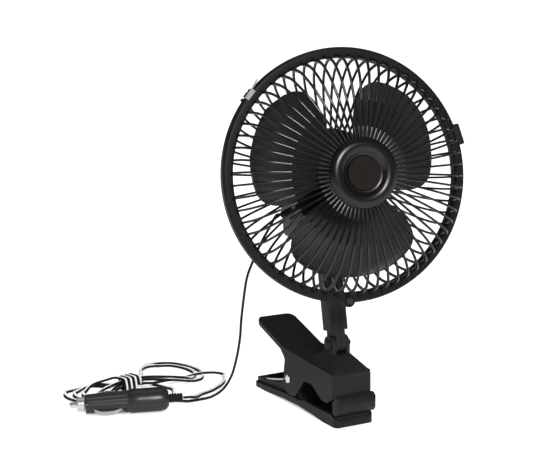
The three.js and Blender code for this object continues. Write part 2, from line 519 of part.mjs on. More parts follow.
// ---------------------------------------------------------------- upper jaw
const atHinge = (g) => g.translate(0, 0, HINGE_Z);
const jawSide = [[-26.2, 24.4], [-26.4, 27], [-24, 45.3, 2], [58.4, 49.4, 8], [104.4, 63.4, 8], [112.4, 65.6],
  [113.2, 63.2], [103, 59], [66, 47.2, 5], [58, 40, 4], [60.4, 26], [60.4, 16, 6], [54.6, 8.9, 6],
  [40.6, 8.9, 7], [24.2, 27.9, 1.5], [11.3, 28.6, 3], [-5.5, 18.9, 3], [-14, 18.6, 2], [-24.2, 24.4]].reverse();
const jawHollow = [[-30, 0], [-24.2, 27], [-21.8, 43.1], [57.8, 47.1], [104.8, 61.3], [110.2, 62.9],
  [112, 40], [112, 0]].reverse();
const jawPlan = [[-CLIP_HALF, -26.4, 3.2], [CLIP_HALF, -26.4, 3.2], [CLIP_HALF, 113.2, 9], [-CLIP_HALF, 113.2, 9]];
const roof = (grow, z0, z1) => {
  const base = [CLIP_HALF - 0.2 + grow, -23.8 - grow, 30 + grow];
  const top = [POST_HALF + grow, -9.6 - grow, 10.4 + grow];
  const p = [];
  for (const [z, [x, y0, y1]] of [[z0, base], [z1, top]]) p.push(-x, y0, z, x, y0, z, x, y1, z, -x, y1, z);
  const g = new THREE.BufferGeometry();
  g.setAttribute("position", new THREE.Float32BufferAttribute(p, 3));
  g.setIndex([0, 2, 1, 0, 3, 2, 4, 5, 6, 4, 6, 7, 0, 1, 5, 0, 5, 4, 1, 2, 6, 1, 6, 5, 2, 3, 7, 2, 7, 6, 3, 0, 4, 3, 4, 7]);
  return g;
};
const earOutline = [[-TONGUE_R, HINGE_Z - 9], [TONGUE_R, HINGE_Z - 9], ...Array.from({ length: 9 }, (_, k) => [
  TONGUE_R * Math.cos((Math.PI * k) / 8), HINGE_Z + TONGUE_R * Math.sin((Math.PI * k) / 8)])];
const forkEars = [[-POST_HALF, -TONGUE_HALF - FIT], [TONGUE_HALF + FIT, POST_HALF]].map(([a, b]) =>
  alongX(earOutline, a, b));
const roofTop = HINGE_Z - TONGUE_R - FIT - 0.2;
const springSeat = box(-5.4, 3.6, 64, 72, 44, 56);
add("clip_upper_jaw", cut(
  join(
    cut(join(common(alongX(jawSide, -CLIP_HALF, CLIP_HALF), alongZ(jawPlan, 0, 80, 4)), roof(0, 44.6, roofTop)),
      alongX(jawHollow, -CLIP_HALF + CLIP_WALL, CLIP_HALF - CLIP_WALL), roof(-2.2, 42.4, roofTop - 2.2)),
    ...forkEars,
    cut(common(springSeat, alongX(jawSide, -8, 8)), alongX([[60, 30], [76, 30], [76, 49.8], [60, 45]], -20, 20))),
  rod("x", BOLT_R + FIT, -20, 20, [0, HINGE_Z], 12), rod("x", PIN_R + FIT, -30, 30, [PIN_Y, PIN_Z], 12)),
  "body", IN_WORLD);

// tilt bolt with its domed head on the left and a nut on the right
add("tilt_bolt", atHinge(turnedX([[0, -11], [3, -10.8], [4.6, -9.8], [4.8, -8.8], [BOLT_R, -8.8],
  [BOLT_R, 12.6], [0, 12.9]], 14)), "body", IN_WORLD);
add("tilt_nut", atHinge(turnedX([[BOLT_R + FIT, 8.8], [2.9, 8.8], [2.9, 12.2], [BOLT_R + FIT, 12.2]], 6)),
  "body", IN_WORLD);

// rolled lip of the upper jaw
const lip = [[-27.2, 27.6, 0.4], [-29.4, 27, 1], [-33, 25.2, 2], [-35.8, 21.6, 2], [-35, 16.6, 2],
  [-31.4, 12.4, 2], [-28.8, 10.5, 1], [-24.6, 10.5, 1.5], [-23.3, 13, 1], [-23.3, 23.2], [-27, 23.9]];
const lipPlan = [[-CLIP_HALF + 0.2, -36.4, 5.5], [CLIP_HALF - 0.2, -36.4, 5.5], [CLIP_HALF - 0.2, -10], [-CLIP_HALF + 0.2, -10]];
add("upper_grip_pad", common(alongX(lip, -CLIP_HALF, CLIP_HALF, 2), alongZ(lipPlan, 0, 40, 4)), "rubber", IN_WORLD);

// ---------------------------------------------------------------- lower jaw
const under = [[-29.4, 0, 0.6], [-8, 0], [10, 1.6], [35, 2.8], [60, 2.2], [95, 0], [115.4, 0, 0.6]];
const skirtSide = [[-30.6, 1.3], ...under, [117.2, 2], [116.2, 4.4], [100, 5], [62, 7.6], [31, 8.4], [27, 9.8],
  [-21, 10], [-28.4, 7.2], [-30.4, 5.2]];
const basePlan = [[-CLIP_HALF, -30.6, 6], [CLIP_HALF, -30.6, 6], [CLIP_HALF, 117.2, 6], [-CLIP_HALF, 117.2, 6]];
const skirtInside = [[-27.8, 2.6], [-8, 2.4], [10, 3.8], [35, 5], [60, 4.4], [95, 2.3], [114.6, 2.3], [114.6, 30], [-27.8, 30]];
const wallSide = [[26, 5], [35, 4], [60, 3.6], [95, 1.4], [114.4, 1.4], [114.4, 8.7], [95, 9.8], [72, 13.2, 6], [62, 22, 4],
  [59.6, 27, 4], [55, 30.4, 4], [49, 30.4, 4], [44.6, 27, 4], [43.6, 20, 4], [36, 10, 4], [28, 9.2]];
const wallHollow = [[20, 5.4], [35, 5.2], [60, 4.6], [95, 2.5], [112.2, 2.5], [112.2, 40], [20, 40]];
const floorRib = (y, z0, z1) => box(-TRAY_HALF + 1, TRAY_HALF - 1, y - 0.8, y + 0.8, z0, z1);
add("clip_lower_jaw", cut(
  join(
    cut(common(alongX(skirtSide, -CLIP_HALF, CLIP_HALF), alongZ(basePlan, -5, 40, 4)),
      alongX(skirtInside, -CLIP_HALF + CLIP_WALL, CLIP_HALF - CLIP_WALL)),
    cut(alongX(wallSide, -TRAY_HALF, TRAY_HALF), alongX(wallHollow, -TRAY_HALF + CLIP_WALL, TRAY_HALF - CLIP_WALL)),
    floorRib(26, 2.6, 7.4), floorRib(4, 2, 6)),
  rod("x", PIN_R + FIT, -30, 30, [PIN_Y, PIN_Z], 12)), "body", IN_WORLD);

const padTop = [[-27.5, 2.9], [-7.6, 2.9], [-7.6, 10, 0.8]];
for (let k = 0; k < 4; k++) padTop.push([-10 - k * 4, 10], [-10.9 - k * 4, 9], [-11.8 - k * 4, 10]);
padTop.push([-25.4, 10, 1], [-27.5, 7.6]);
add("lower_grip_pad", alongX(padTop, -CLIP_HALF + CLIP_WALL + FIT, CLIP_HALF - CLIP_WALL - FIT, 2), "rubber", IN_WORLD);

// ---------------------------------------------------------------- pivot pin and spring
add("clip_pivot_pin", turnedX([[0, -20.6], [2.6, -20.5], [3.5, -19.3], [PIN_R, -19.3],
  [PIN_R, 19.3], [3.5, 19.3], [2.6, 20.5], [0, 20.6]], 14).translate(0, PIN_Y, PIN_Z),
  "chrome", IN_WORLD);

// path of ring centres with the direction of the section's width at each
class Route extends THREE.Curve {
  constructor(points, widths) {
    super();
    this.points = points;
    this.widths = widths;
  }
  getSpacedPoints() {
    return this.points;
  }
  computeFrenetFrames() {
    const n = this.points.length;
    const frames = { tangents: [], normals: [], binormals: [] };
    for (let i = 0; i < n; i++) {
      const a = this.points[Math.max(i - 1, 0)];
      const b = this.points[Math.min(i + 1, n - 1)];
      const tangent = b.clone().sub(a).normalize();
      const width = this.widths[i].clone().addScaledVector(tangent, -this.widths[i].dot(tangent)).normalize();
      frames.tangents.push(tangent);
      frames.normals.push(width);
      frames.binormals.push(tangent.clone().cross(width));
    }
    return frames;
  }
}
// tube of a section (width, thickness, sides) swept along a route
function swept(route, width, thick, sides) {
  const s = new THREE.Shape();
  const ring = [];
  for (let k = 0; k < sides; k++) {
    const a = (2 * Math.PI * k) / sides;
    ring.push(new THREE.Vector2((width / 2) * Math.cos(a), THREE.MathUtils.clamp(
      (thick / 2) * Math.sin(a) * 1.15, -thick / 2, thick / 2)));
  }
  s.setFromPoints(ring);
  return new THREE.ExtrudeGeometry(s, { steps: route.points.length - 1, extrudePath: route });
}
// least gap of a tube to itself, on points along its edges, further apart than `skip` along it
function leastGap(route, width, thick, sides, skip) {
  const frames = route.computeFrenetFrames();
  const rows = [];
  let along = 0;
  for (let i = 0; i < route.points.length; i++) {
    if (i) along += route.points[i].distanceTo(route.points[i - 1]);
    const row = [];
    for (let k = 0; k < sides; k++) {
      const a = (2 * Math.PI * k) / sides;
      row.push(route.points[i].clone().addScaledVector(frames.normals[i], (width / 2) * Math.cos(a))
        .addScaledVector(frames.binormals[i], THREE.MathUtils.clamp((thick / 2) * Math.sin(a) * 1.15, -thick / 2, thick / 2)));
    }
    rows.push([along, row]);
  }
  const cloud = [];
  for (let i = 1; i < rows.length; i++) {
    const step = rows[i][0] - rows[i - 1][0];
    const parts = Math.max(1, Math.ceil(step / 0.8));
    for (let q = 0; q < parts; q++) {
      rows[i][1].forEach((p, k) => cloud.push([rows[i - 1][0] + (step * q) / parts, rows[i - 1][1][k].clone().lerp(p, q / parts)]));
    }
  }
  let least = Infinity;
  for (let i = 0; i < cloud.length; i++) {
    for (let j = i + 1; j < cloud.length; j++) {
      if (cloud[j][0] - cloud[i][0] > skip) least = Math.min(least, cloud[i][1].distanceTo(cloud[j][1]));
    }
  }
  return least;
}
const length = (points) => points.slice(1).reduce((sum, p, i) => sum + p.distanceTo(points[i]), 0);
const V = (x, y, z) => new THREE.Vector3(x, y, z);

// torsion spring: rear leg in the tray, curls round the pin, front leg up under the roof
const springPoints = [V(-13, 109.4, 7), V(-13, 86, 12.6), V(-13, 68, 17.4), V(-13, 62, 19.6)];
const curlStart = -13;
for (let k = 0; k <= SPRING_CURLS * 8; k++) {
  const a = rad(55) + (k * Math.PI) / 4;
  springPoints.push(V(curlStart + (SPRING_PITCH * k) / 8, PIN_Y + SPRING_R * Math.cos(a), PIN_Z + SPRING_R * Math.sin(a)));
}
const lastX = curlStart + SPRING_PITCH * SPRING_CURLS;
springPoints.push(V(lastX + 0.6, 57.2, 33), V(lastX + 0.8, 62, 40), V(lastX + 0.8, 65.6, 45.4));
const springRoute = new Route(springPoints, springPoints.map(() => V(1, 0, 0)));
add("clip_spring", swept(springRoute, 2 * SPRING_WIRE, 2 * SPRING_WIRE, 5), "chrome", IN_WORLD);
console.log("clip_spring least gap", leastGap(springRoute, 2 * SPRING_WIRE, 2 * SPRING_WIRE, 5, 9).toFixed(2));

// ---------------------------------------------------------------- lead
// smooth curve through points, rings every `step` millimetres
function smooth(points, step) {
  const curve = new THREE.CatmullRomCurve3(points, false, "centripetal");
  return curve.getSpacedPoints(Math.max(2, Math.round(curve.getLength() / step)));
}
const across = (points) => points.map((p, i) => {
  const a = points[Math.max(i - 1, 0)];
  const b = points[Math.min(i + 1, points.length - 1)];
  return V(-(b.y - a.y), b.x - a.x, 0.001).normalize();
});
const UP = V(0, 0, 1);

// hank: nested loops drawn in at the waist, then wraps round the waist
const WAIST = [-124, 165];
const HANK_TURN = 12; // degrees, the right lobe's axis against +X
const RIGHT = { reach: 88, half: 38 };
const BEND = 0.2; // both lobes lean away from the viewer
const LEFT = { reach: 61, half: 22 };
const WAIST_HALF = 14; // the runs lie side by side this far from the middle
const NEST = 7; // each loop is this much smaller than the one before
const COLUMN = 2.5; // run beside the middle of the bundle
const LEVEL = 2.6; // run above run in the bundle
const FIRST_LEVEL = 3.8;
const FLOOR = LEAD_THICK / 2 + 0.05;
const onHank = (u, v, z) => V(WAIST[0] + u * Math.cos(rad(HANK_TURN)) - v * Math.sin(rad(HANK_TURN)),
  WAIST[1] + u * Math.sin(rad(HANK_TURN)) + v * Math.cos(rad(HANK_TURN)), z);
const ease = (t) => {
  const c = THREE.MathUtils.clamp(t, 0, 1);
  return c * c * (3 - 2 * c);
};
function hankPoint(turn, level) {
  const a = -Math.PI / 2 - 2 * Math.PI * turn; // clockwise from the near run
  const lobe = Math.cos(a) > 0 ? RIGHT : LEFT;
  const reach = lobe.reach - NEST * turn;
  const u = reach * Math.cos(a);
  const past = Math.max(0, Math.abs(u) - WAIST_HALF - 0.5) / (reach - WAIST_HALF);
  const open = 2.1 * (lobe.half - 0.9 * NEST * turn);
  const v = Math.sin(a) * (COLUMN + open * Math.pow(past, 0.8));
  const lift = 1 - ease((Math.abs(u) - WAIST_HALF) / (0.35 * (lobe.reach - WAIST_HALF)) - 0.86);
  return onHank(u, v + BEND * Math.max(0, Math.abs(u) - WAIST_HALF),
    FLOOR + (FIRST_LEVEL + LEVEL * level - FLOOR) * lift);
}
const leadIn = [V(-87.3, 100, FLOOR), V(-94, 101, FLOOR), V(-99.4, 105, FLOOR), V(-102, 113, FLOOR),
  onHank(25.5, -33, FLOOR), onHank(25.5, -24, FLOOR), onHank(24.5, -15, FLOOR), onHank(22.6, -9.4, FLOOR),
  onHank(17, -4.2, 2.7), onHank(10, -COLUMN, FIRST_LEVEL)];
const hankPoints = [...leadIn];
for (let loop = 0; loop < LOOPS; loop++) {
  for (const [lobe, begins, steps] of [[LEFT, 0, 10], [RIGHT, 0.5, 11]]) {
    const waist = Math.asin(WAIST_HALF / (lobe.reach - NEST * (loop + begins + 0.25))) / (2 * Math.PI);
    for (let k = 0; k <= steps; k++) {
      const turn = loop + begins + waist + ((0.5 - 2 * waist) * k) / steps;
      if (turn < LOOPS - 0.6) hankPoints.push(hankPoint(turn, Math.floor(turn + 0.25)));
    }
  }
}
hankPoints.push(onHank(-17, 8.6, 10.6), onHank(-12.2, 5.2, 12));
const hankWidths = across(hankPoints);
// wraps: over the top from the far side, down the near side, under the bundle
const WRAP_PITCH = 5.2;
const WRAP_STEPS = 16;
const wrapHalf = COLUMN + LEAD_WIDTH / 2 + 0.9 + LEAD_THICK / 2;
const wrapLow = FLOOR;
const wrapHigh = FIRST_LEVEL + LEVEL * (LOOPS - 1) + LEAD_THICK + 0.9;
const alongHank = onHank(1, 0, 0).sub(onHank(0, 0, 0));
for (let k = 4; k <= WRAP_STEPS * WRAPS - 7; k++) {
  const a = (2 * Math.PI * k) / WRAP_STEPS;
  const r = Math.min(1 / Math.max(Math.abs(Math.cos(a)), Math.abs(Math.sin(a))), 1.3);
  hankPoints.push(onHank(WRAP_PITCH * (k / WRAP_STEPS - WRAPS / 2), wrapHalf * r * Math.cos(a),
    (wrapLow + wrapHigh) / 2 + ((wrapHigh - wrapLow) / 2) * r * Math.sin(a)));
  hankWidths.push(alongHank);
}
// out of the last wrap, twisting flat, over the incoming lead and under the loops
hankPoints.push(onHank(9.8, -7.6, 3.9), onHank(13.6, -9.8, 3.9), onHank(19, -11, 3.9), onHank(25, -11.4, 3.9),
  onHank(32, -11.4, 3.6));
hankWidths.push(alongHank.clone().add(V(0, 0, -1)), V(0.3, 0.3, -1), V(-0.4, 1, -0.4), V(-0.2, 1, 0), V(-0.2, 1, 0));
const hankRoute = new Route(hankPoints, hankWidths);
add("cord_hank", swept(hankRoute, LEAD_WIDTH, LEAD_THICK, 6), "lead", IN_WORLD);
console.log("cord_hank least gap", leastGap(hankRoute, LEAD_WIDTH, LEAD_THICK, 6, 14).toFixed(2),
  "length", length(hankPoints).toFixed(0));

// one free stretch: straight ends `before` and `after` a smooth run
const free = (before, points, step, after = []) => {
  const p = [...before, ...smooth(points, step), ...after];
  console.log("free lead length", length(p).toFixed(0), "steps", p.length - 1);
  return swept(new Route(p, across(p)), LEAD_WIDTH, LEAD_THICK, 8);
};
const glandEnd = V(-35.7, 12, -28).applyMatrix4(ON_HEAD).sub(V(0, REST_Y, 0));
const glandOut = V(-38.6, 12, -28).applyMatrix4(ON_HEAD).sub(V(0, REST_Y, 0));
const drop = free([glandEnd], [glandOut, V(-40.4, 45, 162.6), V(-46.2, 50, 148.6), V(-51, 56.4, 131.6),
  V(-53.4, 62, 118), V(-54, 66, 104.3), V(-53.1, 75, 75.9), V(-51.9, 80, 59.1), V(-52.6, 86, 38.5),
  V(-55.4, 91.6, 20.5), V(-61.6, 96, 8.4), V(-71, 99, 2.4), V(-80, 100, FLOOR), V(-87, 100, FLOOR)], 11);
// the head's half of the drop ends on a ball about the tilt hinge, so it clears the clip's half in every pose
const outsideBall = (r) => cut(box(-90, 0, 0, 90, HINGE_Z + 20, 200),
  new THREE.SphereGeometry(r, 64, 48).translate(0, 0, HINGE_Z));
add("cord_drop_upper", common(drop, outsideBall(DROP_SPLIT_R + FIT / 2)), "lead", IN_WORLD);
add("cord_drop_lower", cut(drop, outsideBall(DROP_SPLIT_R - FIT / 2)), "lead", IN_WORLD);

// ---------------------------------------------------------------- plug
// Local to the plug: +X towards its tip, 0 where the lead enters the strain relief.
const plugOut = turnedX([[0, 12.2], [6.4, 12.2], [9.4, 14.6], [PLUG_R, 20], [PLUG_R, 46], [9.7, 49.6], [PLUG_NOSE_R, 83.6], [7.8, 85], [0, 85]], 14);
const plugIn = turnedX([[0, 14.2], [5.4, 14.2], [8.4, 20], [8.4, 45], [7.4, 51], [6.4, 82.8], [0, 82.8]], 8);
const screwX = 30;
const plugBody = cut(
  join(cut(plugOut, plugIn), common(rod("z", 3.6, -11, 11, [screwX, 0], 8), plugOut)),
  turnedX([[0, 10], [3.2, 10], [3.2, 15], [0, 15]], 10), turnedX([[0, 80], [4.9, 80], [4.9, 90], [0, 90]], 14),
  rod("z", 1.4, -12, 7, [screwX, 0], 8), rod("z", 2.8, -12, -6, [screwX, 0], 12));
const CONTACT_TURN = -38; // the contacts sit off the level plane
const onContact = (g, side) => g.rotateX(rad(CONTACT_TURN + (side > 0 ? 0 : 180)));
const slot = (side) => onContact(box(50.5, 81, 4, 14, -2.6, 2.6), side);
const slotted = cut(plugBody, slot(1), slot(-1));
add("plug_shell_lower", common(slotted, box(0, 100, -20, 20, -20, -FIT / 2)), "body", ON_PLUG);
add("plug_shell_upper", common(slotted, box(0, 100, -20, 20, FIT / 2, 20)), "body", ON_PLUG);
add("plug_nose_ring", turnedX([[2.9, 79.4], [4.5, 79.4], [4.5, 85.3], [6.2, 85.3], [6.2, 91.4], [5.4, 92.4], [2.9, 92.4]], 14),
  "chrome", ON_PLUG);
add("plug_tip", turnedX([[0, 76.4], [4.2, 76.4], [4.2, 79], [2.6, 79], [2.6, 97.4], [1.6, 98.6], [0, 98.8]], 12),
  "chrome", ON_PLUG);
add("plug_tip_spring", turnedX([[3, 70], [3.9, 70], [3.9, 76.1], [3, 76.1]], 12), "steel", ON_PLUG);
add("plug_fuse", turnedX([[0, 39.6], [3.1, 39.6], [3.1, 45.6], [2.8, 45.8], [2.8, 63.6], [3.1, 63.8], [3.1, 69.7], [0, 69.7]], 10),
  "glass", ON_PLUG);
// bowed leaf contact, ends tucked inside the shell
const leafLine = [[79, 6], [77, 8.2], [72, 10.6], [65.6, 11.5], [59, 10.6], [53.6, 8.4], [51.4, 6]];
const leaf = (side) => {
  const top = leafLine.map(([s, r]) => [s, r]);
  const low = leafLine.map(([s, r]) => [s, r - 0.7]).reverse();
  const g = new THREE.ExtrudeGeometry(outline(top.concat(low)), { depth: 3.8, bevelEnabled: false });
  return onContact(g.translate(0, 0, -1.9), side);
};
add("plug_side_contact_left", leaf(1), "steel", ON_PLUG);
add("plug_side_contact_right", leaf(-1), "steel", ON_PLUG);
const reliefPoints = [[0, 0], [3.4, 0]];
for (let k = 0; k < 4; k++) reliefPoints.push([4.2, 0.5 + k * 2.9], [4.2, 2.1 + k * 2.9], [3.3, 2.8 + k * 2.9]);
reliefPoints.push([2.8, 12], [2.8, 15.2], [4.6, 15.3], [4.6, 17.2], [0, 17.2]);
add("plug_strain_relief", turnedX(reliefPoints, 10), "rubber", ON_PLUG);
add("plug_screw", join(rod("z", 1.05, -8.4, 6, [screwX, 0], 8), rod("z", 2.4, -8.4, -6.3, [screwX, 0], 12)), "steel", ON_PLUG);

// lead from the wraps, out in its own loop, over the big loops' tip, back to the plug
const tailStart = hankPoints.at(-1);
const tailAim = tailStart.clone().sub(hankPoints.at(-2)).normalize();
const plugEntry = V(-0.5, 0, 0).applyMatrix4(ON_PLUG).sub(V(0, REST_Y, 0));
const plugAway = V(-5, 0, 0).applyMatrix4(ON_PLUG).sub(V(0, REST_Y, 0));
add("cord_tail", free([tailStart.clone().addScaledVector(tailAim, 0.3)], [tailStart.clone().addScaledVector(tailAim, 3),
  onHank(42, -11.6, 2.6), onHank(53, -13, 2.8), onHank(64, -15.5, 4.1), onHank(74, -18, 4.3),
  onHank(84, -22, 3.4), onHank(90, -28, 1.9), V(-33.4, 150, 1.3), V(-40, 136.5, 1.2),
  V(-51, 124.4, 1.6), V(-66, 112.2, 3.4), V(-80, 102, 5.4), V(-92, 89, 8.4), plugAway], 9, [plugEntry]),
  "lead", IN_WORLD);

export default fan;
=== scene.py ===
import json
from math import asin, atan2, cos, floor, pi, radians, sin
import bpy
import bmesh
import numpy as np
from mathutils import Matrix, Vector

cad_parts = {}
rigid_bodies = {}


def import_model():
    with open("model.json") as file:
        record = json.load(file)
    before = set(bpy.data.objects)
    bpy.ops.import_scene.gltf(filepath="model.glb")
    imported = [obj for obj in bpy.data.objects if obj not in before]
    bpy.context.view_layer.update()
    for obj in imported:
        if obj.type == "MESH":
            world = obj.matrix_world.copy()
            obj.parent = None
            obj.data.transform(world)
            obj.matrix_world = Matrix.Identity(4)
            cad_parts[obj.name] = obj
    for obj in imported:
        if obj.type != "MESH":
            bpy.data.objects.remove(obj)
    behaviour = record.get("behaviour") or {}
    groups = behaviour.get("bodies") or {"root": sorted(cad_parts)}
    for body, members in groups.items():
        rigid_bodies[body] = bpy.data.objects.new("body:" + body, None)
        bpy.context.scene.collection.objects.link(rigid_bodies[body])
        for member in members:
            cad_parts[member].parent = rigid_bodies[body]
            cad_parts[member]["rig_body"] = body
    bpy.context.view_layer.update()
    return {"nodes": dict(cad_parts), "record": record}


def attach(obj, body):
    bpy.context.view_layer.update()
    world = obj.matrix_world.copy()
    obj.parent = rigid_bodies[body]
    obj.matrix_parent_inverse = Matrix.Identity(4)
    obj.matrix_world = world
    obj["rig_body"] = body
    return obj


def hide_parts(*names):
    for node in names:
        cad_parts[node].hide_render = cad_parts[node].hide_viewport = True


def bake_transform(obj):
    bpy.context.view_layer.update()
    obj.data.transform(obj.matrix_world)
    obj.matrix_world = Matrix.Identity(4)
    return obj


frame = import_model()
NODES = frame["nodes"]
SLOT_OF = {part["node"]: part["material_slot"] for part in frame["record"]["subparts"]}


def V(x, y, z):
    return Vector((x, y, z))


# ---------------------------------------------------------------- sizes shared with the CAD
# Millimetres and degrees, under the names that they have in the part's source.
MM = 0.001
REST_Y = 19.5  # the origin is the middle of the nose's flat underside
HINGE_Z = 65  # tilt hinge above the floor
LEAN = 10.6  # of the post, backwards
HEAD_Z = 142.7  # fan axis above the tilt hinge, along the post
HEAD_TURN = 11.3
RIBS = 60
RING_Y = 60  # ring plane ahead of the post axis
RING_R = 104
RING_BORE = 95.4
RIM_DEPTH = 5
FRONT_PLATE_R = 28.75
REAR_PLATE_R = 40.5
BADGE_R = 13.7
LATCH_ANGLE = 136.5
SCREW_ANGLE = -94.6
BLADES = 3
BLADE_ANGLE = 31
BLADE_TIP = 83.5
BLADE_PITCH = 10.5
HUB_R = 14.5
PIN_Y = 52
PIN_Z = 22.5
SPRING_R = 4.4
SPRING_CURLS = 6
SPRING_PITCH = 2.8
GLAND_AT = (12, -28)  # y and z on the head's left wall
KNOB_Y = 30  # on the roof of the housing
LEAD_WIDTH = 4
LEAD_THICK = 2
PLUG_AT = (-108, 82.7, 11.6)
PLUG_TURN = 158.95
PLUG_TILT = 1.2
PLUG_R = 10.6
CONTACT_TURN = -38

# Local frames of the clip, the post, the head and the plug.
SHIFT = V(0, REST_Y, 0)
IN_WORLD = Matrix.Translation(SHIFT)
ON_POST = IN_WORLD @ Matrix.Translation((0, 0, HINGE_Z)) @ Matrix.Rotation(radians(-LEAN), 4, "X")
ON_HEAD = ON_POST @ Matrix.Translation((0, 0, HEAD_Z)) @ Matrix.Rotation(radians(-HEAD_TURN), 4, "Z")
ON_PLUG = (IN_WORLD @ Matrix.Translation(PLUG_AT) @ Matrix.Rotation(radians(PLUG_TURN), 4, "Z")
           @ Matrix.Rotation(radians(PLUG_TILT), 4, "Y"))

# ---------------------------------------------------------------- camera, light, floor
CAMERA_TURN = -28.8  # degrees round the clip, to its left
CAMERA_RISE = 11.3
CAMERA_ROLL = -0.5
CAMERA_AIM = V(-60.6, REST_Y, 165.2)
CAMERA_FAR = 1.2  # metres from the aim
PHOTO_WIDTH = 548  # pixels
FOCAL_LENGTH = 1456.7  # pixels
SENSOR = 36
LAMPS = [  # name, place, aim and size in metres, power in watts
    ("key", (-0.40, -1.48, 1.01), (-0.03, 0, 0.19), (0.28, 0.28), 24),
    ("fill", (1.2, -1.3, 0.8), (0, 0, 0.18), (0.8, 1.0), 0.6),
    ("top", (0.1, 0.5, 1.7), (0, 0, 0.1), (1.2, 0.8), 2)]
WORLD_LIGHT = 0.8  # what lights the object; the camera itself sees 1
WORLD_GLOSS = 0.04  # what shows in reflections
GROUND_SIZE = 60
GROUND_DROP = 0.0002
GROUND_TONE = 0.95
GROUND_LIFT = 0.45  # brings the lit floor up to white, for the camera only


def make_camera():
    turn, rise, roll = [radians(d) for d in (CAMERA_TURN, CAMERA_RISE, CAMERA_ROLL)]
    back = V(sin(turn) * cos(rise), -cos(turn) * cos(rise), sin(rise))
    level = V(cos(turn), sin(turn), 0)
    right = cos(roll) * level + sin(roll) * back.cross(level)
    pose = Matrix((right, back.cross(right), back)).transposed().to_4x4()
    pose.translation = CAMERA_AIM * MM + back * CAMERA_FAR
    data = bpy.data.cameras.new("view")
    data.sensor_width = SENSOR
    data.lens = FOCAL_LENGTH / PHOTO_WIDTH * SENSOR
    data.clip_end = 100
    camera = bpy.data.objects.new("view", data)
    camera.matrix_world = pose
    bpy.context.scene.collection.objects.link(camera)
    bpy.context.scene.camera = camera


def area_light(name, at, aim, size, power):
    data = bpy.data.lights.new(name, "AREA")
    data.shape = "RECTANGLE"
    data.size, data.size_y = size
    data.energy = power
    lamp = bpy.data.objects.new(name, data)
    lamp.location = at
    lamp.rotation_euler = (Vector(aim) - Vector(at)).to_track_quat("-Z", "Y").to_euler()
    bpy.context.scene.collection.objects.link(lamp)


def add_node(tree, kind, **values):
    """Shader node with the named inputs set; an underscore stands for a space."""
    node = tree.nodes.new("ShaderNode" + kind)
    for name, value in values.items():
        node.inputs[name.replace("_", " ")].default_value = value
    return node


def make_world():
    world = bpy.data.worlds.new("studio")
    bpy.context.scene.world = world
    world.use_nodes = True
    tree = world.node_tree
    back = tree.nodes["Background"]
    back.inputs["Color"].default_value = (1, 1, 1, 1)
    path = add_node(tree, "LightPath")
    dim = add_node(tree, "MapRange", To_Min=WORLD_LIGHT, To_Max=WORLD_GLOSS)
    white = add_node(tree, "Math")
    white.operation = "MULTIPLY_ADD"
    white.inputs[1].default_value = 1 - WORLD_LIGHT
    tree.links.new(path.outputs["Is Glossy Ray"], dim.inputs["Value"])
    tree.links.new(path.outputs["Is Camera Ray"], white.inputs[0])
    tree.links.new(dim.outputs[0], white.inputs[2])
    tree.links.new(white.outputs[0], back.inputs["Strength"])


def make_ground():
    bpy.ops.mesh.primitive_plane_add(size=GROUND_SIZE, location=(0, 0, -GROUND_DROP))
    ground = bpy.context.object
    ground.name = "ground"
    mat = bpy.data.materials.new("ground")
    mat.use_nodes = True
    tree = mat.node_tree
    shader = tree.nodes["Principled BSDF"]
    shader.inputs["Base Color"].default_value = (GROUND_TONE, GROUND_TONE, GROUND_TONE, 1)
    shader.inputs["Roughness"].default_value = 0.9
    shader.inputs["Specular IOR Level"].default_value = 0.0
    shader.inputs["Emission Color"].default_value = (1, 1, 1, 1)
    seen = add_node(tree, "LightPath")
    lift = add_node(tree, "Math")
    lift.operation = "MULTIPLY"
    lift.inputs[1].default_value = GROUND_LIFT
    tree.links.new(seen.outputs["Is Camera Ray"], lift.inputs[0])
    tree.links.new(lift.outputs[0], shader.inputs["Emission Strength"])
    ground.data.materials.append(mat)


def make_room():
    bpy.context.scene.view_settings.view_transform = "Standard"
    make_world()
    for lamp in LAMPS:
        area_light(*lamp)
    make_ground()


# ---------------------------------------------------------------- materials
PATCHES = 60  # scale of the soft patches of tone
RELIEF = 0.0004  # depth of the grain, in metres


def surface(name, dark, light, rough, grain, bump, metal=0.0, coat=0.0, spec=0.5):
    """Moulded or metal surface: two tones in soft patches, uneven roughness, fine grain."""
    mat = bpy.data.materials.new(name)
    mat.use_nodes = True
    tree = mat.node_tree
    shader = tree.nodes["Principled BSDF"]
    where = add_node(tree, "TexCoord").outputs["Object"]
    patches = add_node(tree, "TexNoise", Scale=PATCHES, Detail=3)
    tree.links.new(where, patches.inputs["Vector"])
    tone = add_node(tree, "Mix")
    tone.data_type = "RGBA"
    tone.inputs[6].default_value = (*dark, 1)
    tone.inputs[7].default_value = (*light, 1)
    tree.links.new(patches.outputs["Fac"], tone.inputs[0])
    tree.links.new(tone.outputs[2], shader.inputs["Base Color"])
    uneven = add_node(tree, "MapRange", To_Min=rough[0], To_Max=rough[1])
    tree.links.new(patches.outputs["Fac"], uneven.inputs["Value"])
    tree.links.new(uneven.outputs[0], shader.inputs["Roughness"])
    fine = add_node(tree, "TexNoise", Scale=grain, Detail=2)
    tree.links.new(where, fine.inputs["Vector"])
    relief = add_node(tree, "Bump", Strength=bump, Distance=RELIEF)
    tree.links.new(fine.outputs["Fac"], relief.inputs["Height"])
    tree.links.new(relief.outputs["Normal"], shader.inputs["Normal"])
    shader.inputs["Metallic"].default_value = metal
    shader.inputs["Coat Weight"].default_value = coat
    shader.inputs["Specular IOR Level"].default_value = spec
    return mat


